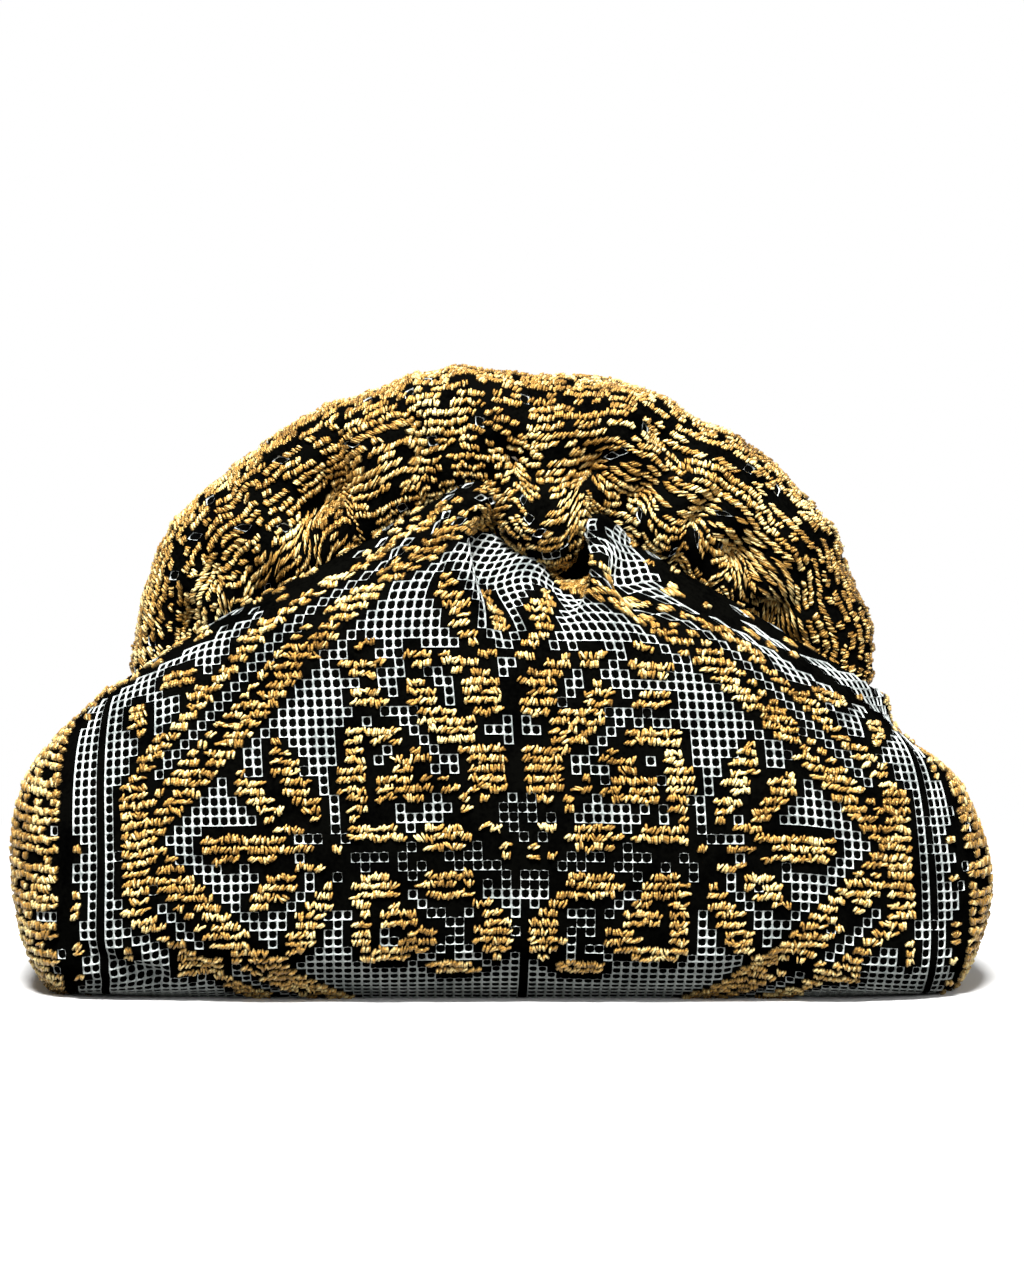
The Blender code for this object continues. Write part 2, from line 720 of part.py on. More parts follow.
def turn_round(objects):
    """Mirrors pieces of the front half in Y, so that they serve at the rear."""
    for obj in objects:
        obj.scale = (1.0, -1.0, 1.0)
        obj.location = (obj.location[0], -obj.location[1], obj.location[2])


def add_frame_half(half, front):
    before = set(bpy.data.objects)
    add_bow(half, front)
    add_padding(half, front)
    add_magnets(half)
    made = [obj for obj in bpy.data.objects if obj not in before]
    if not front:
        turn_round(made)
    surface = front_cover_surface() if front else rear_cover_surface()
    cloth_piece(f"{half}_frame_cover", surface, CLOTH, brocade(), mirrored=not front)


def add_hinge(side, sign):
    outer = ear_place(True) + 0.5 * EAR_THICKNESS + GAP
    inner = ear_place(False) - 0.5 * EAR_THICKNESS - GAP
    profile = (
        (inner - RIVET_HEAD, 0.0),
        (inner - RIVET_HEAD, 0.7 * RIVET_HEAD_RADIUS),
        (inner - 0.5 * RIVET_HEAD, RIVET_HEAD_RADIUS),
        (inner, RIVET_HEAD_RADIUS),
        (inner, RIVET_RADIUS),
        (outer, RIVET_RADIUS),
        (outer, RIVET_HEAD_RADIUS),
        (outer + 0.5 * RIVET_HEAD, RIVET_HEAD_RADIUS),
        (outer + RIVET_HEAD, 0.7 * RIVET_HEAD_RADIUS),
        (outer + RIVET_HEAD, 0.0),
    )
    turned(f"{side}_hinge_rivet", profile, sign, plated_steel())
    middle = 0.5 * (ear_place(True) + ear_place(False))
    low, high = middle - 0.5 * WASHER_THICKNESS, middle + 0.5 * WASHER_THICKNESS
    hole = RIVET_RADIUS + GAP
    ring = ((low, hole), (low, WASHER_RADIUS), (high, WASHER_RADIUS), (high, hole))
    turned(f"{side}_hinge_washer", ring, sign, plated_steel(), closed=True)


def main():
    for obj in list(bpy.data.objects):
        bpy.data.objects.remove(obj)
    add_body()
    add_lining()
    add_pocket()
    add_frame_half("front", True)
    add_frame_half("rear", False)
    for side, sign in SIDES.items():
        add_hinge(side, sign)


main()
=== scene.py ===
import math

import bpy
import numpy as np
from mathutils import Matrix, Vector


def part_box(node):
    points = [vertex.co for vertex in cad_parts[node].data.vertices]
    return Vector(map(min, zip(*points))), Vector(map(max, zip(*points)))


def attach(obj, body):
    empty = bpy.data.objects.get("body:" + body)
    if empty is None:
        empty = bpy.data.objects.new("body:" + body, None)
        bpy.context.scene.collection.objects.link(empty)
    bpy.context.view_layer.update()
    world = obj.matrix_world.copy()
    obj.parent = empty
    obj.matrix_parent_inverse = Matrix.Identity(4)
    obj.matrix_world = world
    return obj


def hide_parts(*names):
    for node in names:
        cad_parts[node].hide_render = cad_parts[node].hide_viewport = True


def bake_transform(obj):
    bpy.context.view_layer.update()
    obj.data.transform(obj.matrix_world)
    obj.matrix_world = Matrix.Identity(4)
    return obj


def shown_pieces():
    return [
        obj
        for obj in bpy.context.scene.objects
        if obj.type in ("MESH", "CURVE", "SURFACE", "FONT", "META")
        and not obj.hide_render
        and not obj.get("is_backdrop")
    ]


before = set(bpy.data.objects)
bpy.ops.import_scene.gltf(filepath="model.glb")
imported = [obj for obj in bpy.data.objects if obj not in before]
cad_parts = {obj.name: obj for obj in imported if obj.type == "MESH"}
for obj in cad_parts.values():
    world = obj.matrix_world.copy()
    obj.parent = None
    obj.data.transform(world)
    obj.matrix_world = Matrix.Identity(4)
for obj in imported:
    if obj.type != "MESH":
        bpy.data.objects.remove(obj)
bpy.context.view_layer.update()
print("solids loaded")

# Small tools


def linear(hexColour):
    # sRGB hex to the linear values that Blender works in
    channels = [int(hexColour[k:k + 2], 16) / 255 for k in (1, 3, 5)]
    return [c / 12.92 if c <= 0.04045 else ((c + 0.055) / 1.055) ** 2.4 for c in channels] + [1.0]


def fill(tree, node, inputs):
    for name, value in inputs.items():
        if isinstance(value, bpy.types.NodeSocket):
            tree.links.new(value, node.inputs[name])
        else:
            node.inputs[name].default_value = value


def addNode(tree, kind, inputs=None, **settings):
    node = tree.nodes.new("ShaderNode" + kind)
    for name, value in settings.items():
        setattr(node, name, value)
    fill(tree, node, inputs or {})
    return node


def newMaterial(name):
    material = bpy.data.materials.new(name)
    material.use_nodes = True
    tree = material.node_tree
    return material, tree, tree.nodes["Principled BSDF"], addNode(tree, "TexCoord").outputs


def setRamp(ramp, stops):
    # stops are (place, hex colour), at least two
    elements = ramp.color_ramp.elements
    while len(elements) < len(stops):
        elements.new(0.5)
    for element, (place, colour) in zip(elements, stops):
        element.position = place
        element.color = linear(colour)


def smoothstep(low, high, value):
    part = np.clip((value - low) / (high - low), 0.0, 1.0)
    return part * part * (3.0 - 2.0 * part)


def unit(vectors):
    return vectors / np.maximum(np.linalg.norm(vectors, axis=-1, keepdims=True), 1e-12)


def addMesh(name, points, faces, material, uv=None):
    # faces is a list of index arrays, each (count, corners); unused points are dropped
    faces = [np.asarray(part) for part in faces if len(part)]
    used = np.unique(np.concatenate([part.ravel() for part in faces]))
    newPlace = np.full(len(points), -1)
    newPlace[used] = np.arange(len(used))
    faces = [newPlace[part] for part in faces]
    loops = np.concatenate([part.ravel() for part in faces])
    sizes = np.concatenate([np.full(len(part), part.shape[1]) for part in faces])
    mesh = bpy.data.meshes.new(name)
    mesh.vertices.add(len(used))
    mesh.vertices.foreach_set("co", points[used].astype(np.float32).ravel())
    mesh.loops.add(len(loops))
    mesh.loops.foreach_set("vertex_index", loops.astype(np.int32))
    mesh.polygons.add(len(sizes))
    starts = np.concatenate([[0], np.cumsum(sizes)[:-1]])
    mesh.polygons.foreach_set("loop_start", starts.astype(np.int32))
    if uv is not None:
        layer = mesh.uv_layers.new(name="UVMap")
        layer.data.foreach_set("uv", uv[used][loops].astype(np.float32).ravel())
    mesh.update(calc_edges=True)
    mesh.validate()
    mesh.shade_smooth()
    mesh.materials.append(material)
    made = bpy.data.objects.new(name, mesh)
    bpy.context.scene.collection.objects.link(made)
    return made


def gridFaces(rows, columns):
    # quads of a grid of points that is stored row after row
    i, j = np.meshgrid(np.arange(rows - 1), np.arange(columns - 1), indexing="ij")
    k = (i * columns + j).ravel()
    return np.stack([k, k + 1, k + 1 + columns, k + columns], axis=1)


# Materials

look = {
    # gold film yarn, from its foot in the dark cloth up to the lit crown of a loop; the dark of the foot is
    # painted shade
    "goldFootShade": "#120A04", "goldShade": "#6C4A1B", "goldMiddle": "#BC8E45", "goldLight": "#F9E3A0",
    "goldGlint": "#F6D488",  # colour of the film's glints
    "netWhite": "#BCC2BF", "netShade": "#646B69",
    "groundLight": "#050504", "groundDark": "#010101",
    "satinLight": "#17171A", "satinDark": "#0B0B0D",
    "waddingLight": "#F1EFE9", "waddingDark": "#C9C6BE",
    "boardLight": "#A7A49C", "boardDark": "#8B8881",
    "steel": "#8E8F92", "nickel": "#C4C2BC",
    # sizes in millimetres
    "filmWrap": 0.888,  # turn of the film round its core; real film turns at 0.25, too fine to show here
    "fibre": 0.35,  # fibre of the spun yarns, drawn coarse enough to show
    "satinRib": 0.789,  # rib of the satin, drawn coarse enough to show
    "goldPatch": 14.0, "yarnPatch": 10.0, "satinCloud": 30.0,  # slow changes of tone across the cloth
    "waddingHair": 1.2, "boardFleck": 1.2, "brushedGrain": 0.6, "platedGrain": 0.4,
    "fibreBump": {"black": 0.2, "white": 0.12},
}
# width of one band of Blender's wave texture at scale 1
straightBand, diagonalBand = 2 * math.pi / 20, 2 * math.pi / 10


def perMetre(millimetres):
    return 1000.0 / millimetres


def spaced(coords, millimetres, **more):
    # a pattern of the given size that runs through the whole bag
    return {"Vector": coords["Object"], "Scale": perMetre(millimetres), **more}


def lurexYarn():
    # gold polyester film wound round a soft core: cream where it stands proud, with painted shade turning it
    # brown down at its foot
    material, tree, shader, coords = newMaterial("lurexYarn")
    island = addNode(tree, "NewGeometry")
    patches = addNode(tree, "TexNoise", spaced(coords, look["goldPatch"], Detail=2.0))
    tone = addNode(tree, "Math", {0: island.outputs["Random Per Island"], 1: 0.5}, operation="MULTIPLY")
    spread = addNode(tree, "Math", {0: patches.outputs["Fac"], 1: tone.outputs[0]}, operation="ADD")
    ramp = addNode(tree, "ValToRGB", {"Fac": spread.outputs[0]})
    setRamp(ramp, [(0.44, look["goldShade"]), (0.74, look["goldMiddle"]), (1.0, look["goldLight"])])
    place = addNode(tree, "SeparateXYZ", {"Vector": coords["UV"]})
    # painted shade: the lower a point of a strand stands, the nearer its colour goes to the dark foot colour
    proud = addNode(
        tree, "MapRange", {"Value": place.outputs["X"], "From Min": 0.25, "From Max": 1.0},
        interpolation_type="SMOOTHSTEP",
    )
    colour = addNode(
        tree, "Mix",
        {"Factor": proud.outputs["Result"], 6: linear(look["goldFootShade"]), 7: ramp.outputs["Color"]},
        data_type="RGBA",
    )
    # the tufts' V runs in millimetres along each strand, their U tells how proud it stands there
    wrap = addNode(
        tree, "TexWave",
        {
            "Vector": coords["UV"], "Scale": diagonalBand / look["filmWrap"],
            "Distortion": 1.5, "Detail": 1.0,
        },
        wave_type="BANDS", bands_direction="DIAGONAL",
    )
    bump = addNode(tree, "Bump", {"Height": wrap.outputs["Fac"], "Strength": 0.5, "Distance": 0.0002})
    # lacquer over the metal film: its glints are gold, but little of the surface mirrors
    fill(tree, shader, {
        "Base Color": colour.outputs[2], "Normal": bump.outputs["Normal"], "Metallic": 0.15,
        "Specular Tint": linear(look["goldGlint"]), "Specular IOR Level": 0.8, "Roughness": 0.30,
    })
    return material


def spunYarn(name, light, dark, roughness, sheen, shine, bumpDepth):
    # spun yarn: matt, with a fuzz that pales at a thread's edge; light dies between its fibres
    material, tree, shader, coords = newMaterial(name)
    # the noise's largest lumps are three fibres wide
    fibres = addNode(tree, "TexNoise", spaced(coords, 3 * look["fibre"], Detail=3.0, Roughness=0.6))
    patches = addNode(tree, "TexNoise", spaced(coords, look["yarnPatch"], Detail=2.0))
    tone = addNode(tree, "Math", {0: fibres.outputs["Fac"], 1: patches.outputs["Fac"]}, operation="MULTIPLY")
    ramp = addNode(tree, "ValToRGB", {"Fac": tone.outputs[0]})
    setRamp(ramp, [(0.12, dark), (0.32, light)])
    bump = addNode(
        tree, "Bump", {"Height": fibres.outputs["Fac"], "Strength": 0.6, "Distance": bumpDepth / 1000}
    )
    fill(tree, shader, {
        "Base Color": ramp.outputs["Color"], "Normal": bump.outputs["Normal"],
        "Roughness": roughness, "Sheen Weight": sheen, "Specular IOR Level": shine,
    })
    return material


def satin():
    # black polyester satin: a soft broad gloss across fine floats
    material, tree, shader, coords = newMaterial("blackSatin")
    ribs = addNode(
        tree, "TexWave", spaced(coords, look["satinRib"] / straightBand, Distortion=0.6),
        wave_type="BANDS", bands_direction="Z",
    )
    clouds = addNode(tree, "TexNoise", spaced(coords, look["satinCloud"], Detail=2.0))
    ramp = addNode(tree, "ValToRGB", {"Fac": clouds.outputs["Fac"]})
    setRamp(ramp, [(0.3, look["satinDark"]), (0.7, look["satinLight"])])
    bump = addNode(tree, "Bump", {"Height": ribs.outputs["Fac"], "Strength": 0.25, "Distance": 0.0001})
    fill(tree, shader, {
        "Base Color": ramp.outputs["Color"], "Normal": bump.outputs["Normal"],
        "Roughness": 0.5, "Specular IOR Level": 0.25,
    })
    return material


def matted(name, dark, light, ends, hair, detail, tangle, bumpStrength, roughness):
    material, tree, shader, coords = newMaterial(name)
    hairs = addNode(tree, "TexNoise", spaced(coords, hair, Detail=detail, Distortion=tangle))
    ramp = addNode(tree, "ValToRGB", {"Fac": hairs.outputs["Fac"]})
    setRamp(ramp, [(ends[0], dark), (ends[1], light)])
    bump = addNode(
        tree, "Bump", {"Height": hairs.outputs["Fac"], "Strength": bumpStrength, "Distance": 0.0008}
    )
    fill(tree, shader, {
        "Base Color": ramp.outputs["Color"], "Normal": bump.outputs["Normal"], "Roughness": roughness,
    })
    return material


def metal(name, colour, roughness, grain, stretch):
    # steel with the marks of its making drawn as fine scratches of the given spacing
    material, tree, shader, coords = newMaterial(name)
    drawn = addNode(tree, "Mapping", {"Vector": coords["Object"], "Scale": stretch})
    scratches = addNode(
        tree, "TexNoise", {"Vector": drawn.outputs["Vector"], "Scale": perMetre(grain), "Detail": 3.0}
    )
    wear = addNode(
        tree, "MapRange",
        {"Value": scratches.outputs["Fac"], "To Min": roughness - 0.08, "To Max": roughness + 0.1},
    )
    bump = addNode(tree, "Bump", {"Height": scratches.outputs["Fac"], "Strength": 0.2, "Distance": 0.00005})
    fill(tree, shader, {
        "Base Color": linear(colour), "Normal": bump.outputs["Normal"],
        "Roughness": wear.outputs["Result"], "Metallic": 1.0,
    })
    return material


goldYarn = lurexYarn()
blackYarn = spunYarn(
    "blackGroundYarn", look["groundLight"], look["groundDark"],
    roughness=1.0, sheen=0.0, shine=0.0, bumpDepth=look["fibreBump"]["black"],
)
netYarn = spunYarn(
    "whiteNetThread", look["netWhite"], look["netShade"],
    roughness=0.62, sheen=0.1, shine=0.4, bumpDepth=look["fibreBump"]["white"],
)
liningSatin = satin()
# bonded polyester wadding: white, dull and hairy
rollWadding = matted(
    "polyesterWadding", look["waddingDark"], look["waddingLight"], (0.3, 0.7),
    hair=look["waddingHair"], detail=6.0, tangle=2.0, bumpStrength=0.8, roughness=0.95,
)
# the bows are drawn along their strip, the plated pieces have no direction
springSteel = metal("springSteel", look["steel"], 0.32, look["brushedGrain"], stretch=(1.0, 12.0, 1.0))
nickelPlate = metal("nickelPlate", look["nickel"], 0.2, look["platedGrain"], stretch=(1.0, 1.0, 1.0))
# recycled grey board: flat, flecked with paler and darker fibres
boardStock = matted(
    "greyBoard", look["boardDark"], look["boardLight"], (0.35, 0.65),
    hair=look["boardFleck"], detail=5.0, tangle=0.0, bumpStrength=0.0, roughness=0.9,
)
print("materials made")

# Shapes of the cloth, as the solids have them but finer

# one seed for each random draw; the gold of a panel and of a mouth takes the number after its seed
seeds = {
    "panelSwell": {"front": 3, "rear": 5}, "rollSwell": {"front": 11, "rear": 13},
    "rollDimples": {"front": 12, "rear": 14},
    "missing": 20, "sideGaps": 21, "flecks": 22, "goldInCreaseShadow": 23, "outlines": 24, "creaseShadowFlecks": 25,
    "rollGaps": 31, "cobbles": 32,
    "panel": {"front": 41, "rear": 51}, "roll": {"front": 61, "rear": 71}, "base": 91,
    "liningCrumple": (81, 82), "baseLining": 92, "wadding": 95,
}

body = {
    "baseWidth": 0.236, "baseDepth": 0.088, "basePower": 4.0,
    "baseEdge": 0.004, "edgeLift": 0.0095, "turnLift": 0.0062, "turnHeight": 0.0002,
    "underEdge": 0.006, "baseRound": 0.010,
    "bellyWidth": 0.250, "bellyDepth": 0.096, "bellyPower": 3.2, "bellyHeight": 0.031, "bellyTilt": 0.007,
    "hipWidth": 0.240, "hipDepth": 0.093, "hipPower": 2.8, "hipPlace": 0.55, "lean": 0.004,
    "browWidth": 0.208, "browDepth": 0.072, "browPower": 3.0, "browDrop": 0.0075,
    "creaseWidth": 0.196, "creaseDepth": 0.041, "creasePower": 4.0,
    "creaseEnd": 0.076, "creaseRise": 0.0575, "creaseRound": 0.004, "creaseTilt": 0.001,
    "peaks": ((0.0245, 0.0030, 0.0060), (0.0093, -0.0160, 0.0105)),  # x, rise and half width of peak, notch
    "tuckIn": 0.004, "tuckDown": 0.002,  # the crease's edge is turned in behind itself
    "seamGap": 0.0001,  # between the front and the rear cloth at the sides
    "mostFold": 0.0095,  # no fold is deeper
    "swell": 0.0007, "swellSize": 0.045,  # how far and how widely the soft cloth stands out unevenly
    # folds as seen from the front: x and z of both ends, half width, depth at the first end
    "folds": (
        (-0.0015, 0.1172, 0.0026, 0.0868, 0.0044, 0.0092),
        (0.0170, 0.1119, 0.0146, 0.0930, 0.0040, 0.0080),
        (0.0297, 0.1064, 0.0420, 0.0904, 0.0036, 0.0062),
        (-0.0180, 0.1180, -0.0140, 0.1000, 0.0030, 0.0030),
        (-0.0300, 0.1095, -0.0520, 0.0935, 0.0040, 0.0032),
        (-0.0734, 0.0080, -0.0938, 0.0200, 0.0042, 0.0022),
        (0.0600, 0.0070, 0.0860, 0.0190, 0.0040, 0.0018),
        (-0.0850, 0.0060, -0.1120, 0.0160, 0.0026, 0.0026),
    ),
}

roll = {
    "width": 0.190, "top": 0.157, "base": 0.081, "power": 2.0, "seamPower": 1.8,
    "depth": 0.029, "endDepth": 0.0145, "depthPower": 3.5, "endWidth": 0.018,
    "hingeHeight": 0.073, "mouthGap": 0.0004, "seamTuck": 0.003,
    "hem": 0.12,  # share of the way up to the arch at which the cloth ends inside the mouth
    # from the seam over the top: share of the way up to the arch, share of the depth forward
    "stations": (
        (0.0, 0.66), (0.24, 1.0), (0.62, 1.0), (0.90, 0.78),
        (1.0, 0.42), (0.965, 0.13), (0.82, 0.0), (0.45, 0.0),
    ),
    "capDrop": 0.0055,  # the gathered ends hang this far below the casing's ends
    "capTurns": (15, 30, 45, 58, 70, 80, 87),  # degrees, rows of points in a gathered end
    "mostFold": 0.0145,
    "swell": 0.0034, "swellSize": 0.030, "dimples": 0.0009, "dimpleSize": 0.011,
    "looseFrom": 0.001, "looseTo": 0.008,  # from the mouth, where the cloth starts and ends to swell
    "heldRows": 12,  # so many rows of points beside the seam keep their place
    "folds": (
        (-0.0426, 0.1292, -0.0538, 0.1118, 0.0070, 0.0150),
        (-0.0415, 0.1435, -0.0410, 0.1325, 0.0015, 0.0049),
        (-0.0220, 0.1455, -0.0205, 0.1258, 0.0016, 0.0062),
        (-0.0736, 0.1055, -0.0760, 0.1135, 0.0026, 0.0057),
        (-0.0810, 0.0885, -0.0805, 0.1035, 0.0034, 0.0068),
        (0.0110, 0.1130, 0.0100, 0.1290, 0.0115, -0.0045),
        (0.0040, 0.1325, 0.0020, 0.1430, 0.0070, 0.0105),
        (0.0210, 0.1325, 0.0250, 0.1415, 0.0055, 0.0110),
        (0.0300, 0.1225, 0.0450, 0.1345, 0.0032, 0.0054),
        (0.0480, 0.1195, 0.0590, 0.1315, 0.0022, 0.0076),
        (0.0590, 0.1105, 0.0690, 0.1145, 0.0052, 0.0110),
        (0.0620, 0.0955, 0.0820, 0.0985, 0.0024, 0.0065),
        (-0.0620, 0.1000, -0.0700, 0.1180, 0.0030, 0.0046),
        (-0.0130, 0.1400, -0.0060, 0.1500, 0.0036, 0.0041),
        (0.0400, 0.1420, 0.0500, 0.1330, 0.0030, 0.0041),
    ),
}

cloth = {
    "thickness": 0.0014, "lining": 0.0008, "board": 0.002,
    "rearGathers": 15, "rearGatherDepth": 0.0016, "rearGathersFrom": 0.6,  # share of the crease's height
}

# how finely the cloths are laid out: points across, and steps between their control lines
fine = {
    "columns": 420,
    "panelSteps": (6, 6, 30, 34, 34, 12, 8),
    "rollSteps": (24, 24, 12, 14, 18, 18, 18, 14),
}
curvePoints = 1441  # of a ring or arch before its points are set evenly
foldFade = (0.25, 1.15)  # a fold fades between these shares of its length
foldSharpness = 1.6  # 2 would round a fold's bottom fully, less makes it keener
rippleWaves, rippleSpread = 7, (0.7, 1.6)  # waves laid over each other, and the spread of their sizes


def evenly(points, count):
    steps = np.linalg.norm(np.diff(points, axis=0), axis=1)
    along = np.concatenate([[0.0], np.cumsum(steps)])
    wanted = np.linspace(0.0, along[-1], count)
    return np.stack([np.interp(wanted, along, points[:, k]) for k in range(points.shape[1])], axis=1)


def halfCurve(width, depth, power):
    # half of a rounded rectangle from left to right; a greater power makes squarer corners
    angle = np.linspace(math.pi, 0.0, curvePoints)
    x = 0.5 * width * np.sign(np.cos(angle)) * np.abs(np.cos(angle)) ** (2.0 / power)
    return x, depth * np.abs(np.sin(angle)) ** (2.0 / power)


def halfRing(width, depth, power, count):
    x, forward = halfCurve(width, 0.5 * depth, power)
    return evenly(np.stack([x, -forward], axis=1), count)


def atHeight(ring, height):
    return np.column_stack([ring, np.broadcast_to(height, len(ring))])


def creaseHeight(x, plain):
    share = np.clip(np.hypot(x, body["creaseRound"]) / (0.5 * body["creaseWidth"]), 0.0, 1.0)
    height = body["creaseEnd"] + body["creaseRise"] * (1.0 - share)
    height = height - body["creaseTilt"] * x / (0.5 * body["creaseWidth"])
    if not plain:
        for place, rise, halfWidth in body["peaks"]:
            height = height + rise * np.exp(-(((x - place) / halfWidth) ** 4))
    return height


def loft(controls, steps):
    # a smooth surface through control lines, with so many steps from each line to the next
    columns = []
    for points in np.transpose(controls, (1, 0, 2)):
        along = np.concatenate([[0.0], np.cumsum(np.linalg.norm(np.diff(points, axis=0), axis=1))])
        slopes = np.gradient(points, along, axis=0)
        column = [points[:1]]
        for i, count in enumerate(steps):
            span = along[i + 1] - along[i]
            t = np.linspace(0.0, 1.0, count + 1)[1:, None]
            column.append(
                (2 * t**3 - 3 * t**2 + 1) * points[i] + (t**3 - 2 * t**2 + t) * span * slopes[i]
                + (3 * t**2 - 2 * t**3) * points[i + 1] + (t**3 - t**2) * span * slopes[i + 1]
            )
        columns.append(np.concatenate(column))
    return np.stack(columns, axis=1)


def outward(grid):
    return unit(np.cross(np.gradient(grid, axis=1), np.gradient(grid, axis=0)))


def pressed(surface, inward):
    return surface - outward(surface) * inward[..., None]


def foldDepth(grid, folds, most):
    # how far the folds press each point in; a fold fades from its first end to its second
    x, z = grid[..., 0], grid[..., 2]
    depth = np.zeros(x.shape)
    for x0, z0, x1, z1, halfWidth, deep in folds:
        length = math.hypot(x1 - x0, z1 - z0)
        along = ((x - x0) * (x1 - x0) + (z - z0) * (z1 - z0)) / length
        aside = ((x - x0) * (z1 - z0) - (z - z0) * (x1 - x0)) / length
        before = np.exp(-((along / halfWidth) ** 2))
        after = 1.0 - smoothstep(foldFade[0] * length, foldFade[1] * length, along)
        fade = np.where(along < 0.0, before, after)
        depth += deep * fade * np.exp(-(np.abs(aside / halfWidth) ** foldSharpness))
    return np.minimum(depth, most)


def ripples(grid, size, seed):
    # slow uneven swelling of soft cloth, between -1 and 1
    draw = np.random.default_rng(seed)
    total = np.zeros(grid.shape[:2])
    for _ in range(rippleWaves):
        angle, phase = draw.uniform(0, math.pi), draw.uniform(0, 2 * math.pi)
        wave = 2 * math.pi / (size * draw.uniform(*rippleSpread))
        total += np.sin(wave * (grid[..., 0] * math.cos(angle) + grid[..., 2] * math.sin(angle)) + phase)
    return total / rippleWaves


def baseRing(inset, further, columns):
    width, depth = body["baseWidth"] - 2 * inset, body["baseDepth"] - 2 * (inset + further)
    return halfRing(width, depth, body["basePower"], columns)


def lifted(ring, height, lift):
    # the lower edge turns in a wider curve in the middle than at its corners
    share = 1.0 - np.abs(2.0 * ring[:, 0] / body["baseWidth"]) ** 3
    return atHeight(ring, height + lift * share)


def leaning(ring, share):
    return ring - np.array([share * body["lean"], 0.0])


def bellyLine(ring):
    return atHeight(ring, body["bellyHeight"] - 2 * body["bellyTilt"] * ring[:, 0] / body["bellyWidth"])


def hipLine(ring, browZ, place):
    bellyZ = body["bellyHeight"]
    heights = np.maximum(bellyZ + place * (browZ - bellyZ), bellyZ + body["bellyTilt"])
    return atHeight(leaning(ring, 0.5), heights)


def panelRings(columns, plain):
    crease = halfRing(body["creaseWidth"], body["creaseDepth"], body["creasePower"], columns)
    creaseZ = creaseHeight(crease[:, 0], plain)
    browZ = creaseZ - body["browDrop"]
    belly = halfRing(body["bellyWidth"], body["bellyDepth"], body["bellyPower"], columns)
    hip = halfRing(body["hipWidth"], body["hipDepth"], body["hipPower"], columns)
    brow = halfRing(body["browWidth"], body["browDepth"], body["browPower"], columns)
    edge = halfRing(body["baseWidth"], body["baseDepth"], body["basePower"], columns)
    # the tucked edge goes in less across than in depth
    tuckScale = 1.0 - body["tuckIn"] / (0.5 * body["creaseDepth"]) * np.array([0.2, 1.0])
    turned = baseRing(0.5 * body["baseEdge"], 0.4 * body["baseRound"], columns)
    return [
        atHeight(baseRing(body["underEdge"], body["baseRound"], columns), 0.0),
        lifted(turned, body["turnHeight"], body["turnLift"]),
        lifted(edge, body["baseEdge"], body["edgeLift"]),
        bellyLine(belly),
        hipLine(hip, browZ, body["hipPlace"]),
        atHeight(leaning(brow, 1.0), browZ),
        atHeight(crease, creaseZ),
        atHeight(crease * tuckScale, creaseZ - body["tuckDown"]),
    ]


def panelSurface(plain):
    surface = loft(np.array(panelRings(fine["columns"], plain)), fine["panelSteps"])
    surface[..., 1] -= 0.5 * body["seamGap"]
    return surface


def gathers(surface, low, high):
    turns = cloth["rearGathers"] * surface[..., 0] / (0.5 * body["creaseWidth"])
    wave = 0.5 - 0.5 * np.cos(2 * math.pi * turns)
    return cloth["rearGatherDepth"] * wave * smoothstep(low, high, surface[..., 2])


def panelSwell(surface, half):
    return body["swell"] * ripples(surface, body["swellSize"], seeds["panelSwell"][half])


def offFloor(surface):
    return smoothstep(0.0, 2 * body["baseEdge"], surface[..., 2])


def frontPanelSurface():
    surface = panelSurface(plain=False)
    inward = foldDepth(surface, body["folds"], body["mostFold"])
    inward += panelSwell(surface, "front")
    inward *= offFloor(surface)
    return pressed(surface, inward)


def rearPanelSurface():
    surface = panelSurface(plain=True)
    low, high = cloth["rearGathersFrom"] * body["creaseEnd"], body["creaseEnd"] + body["creaseRise"]
    inward = gathers(surface, low, high) + panelSwell(surface, "rear") * offFloor(surface)
    return pressed(surface, inward)


def arch(width, rise, power, columns):
    x, height = halfCurve(width, rise, power)
    return evenly(np.stack([x, roll["base"] + height], axis=1), columns)


def rollFrame(columns, plain):
    top = arch(roll["width"], roll["top"] - roll["base"], roll["power"], columns)
    rise = body["creaseEnd"] + body["creaseRise"] - roll["base"]
    seam = arch(roll["width"] - 2 * roll["endWidth"], rise, roll["seamPower"], columns)
    seam[:, 1] = np.minimum(creaseHeight(seam[:, 0], plain) - roll["seamTuck"], seam[:, 1])
    across = np.abs(seam[:, 0]) / (0.5 * roll["width"] - roll["endWidth"])
    depth = roll["endDepth"] + (roll["depth"] - roll["endDepth"]) * (1.0 - across ** roll["depthPower"])
    return seam, top, depth


def rollSurface(columns, steps, plain):
    # a roll's cloth from the seam at the crease up the front, over the top and down the mouth to its hem
    seam, top, depth = rollFrame(columns, plain)
    lines = []
    for share, forward in (*roll["stations"], (roll["hem"], 0.0)):
        flat = seam + share * (top - seam)
        lines.append(np.column_stack([flat[:, 0], -0.5 * roll["mouthGap"] - forward * depth, flat[:, 1]]))
    surface = loft(np.array(lines), steps)
    surface[..., 1] = np.minimum(surface[..., 1], -0.5 * roll["mouthGap"])
    return surface


def withEnds(surface):
    # closes a roll at both ends with cloth drawn together below the casing
    sides = []
    for edge, order in ((surface[:, 0], -1), (surface[:, -1], 1)):
        centre = edge.mean(axis=0)
        cap = []
        for turn in np.radians(roll["capTurns"]):
            down = np.array([0.0, 0.0, -roll["capDrop"] * math.sin(turn)])
            cap.append(centre + (edge - centre) * math.cos(turn) + down)
        sides.append(np.stack(cap[::order], axis=1))
    return np.concatenate([sides[0], surface, sides[1]], axis=1)


def facingFront(surface):
    # 0 on the mouth's side of a roll, 1 on its front
    return smoothstep(0.25 * roll["endDepth"], 0.55 * roll["depth"], -surface[..., 1])


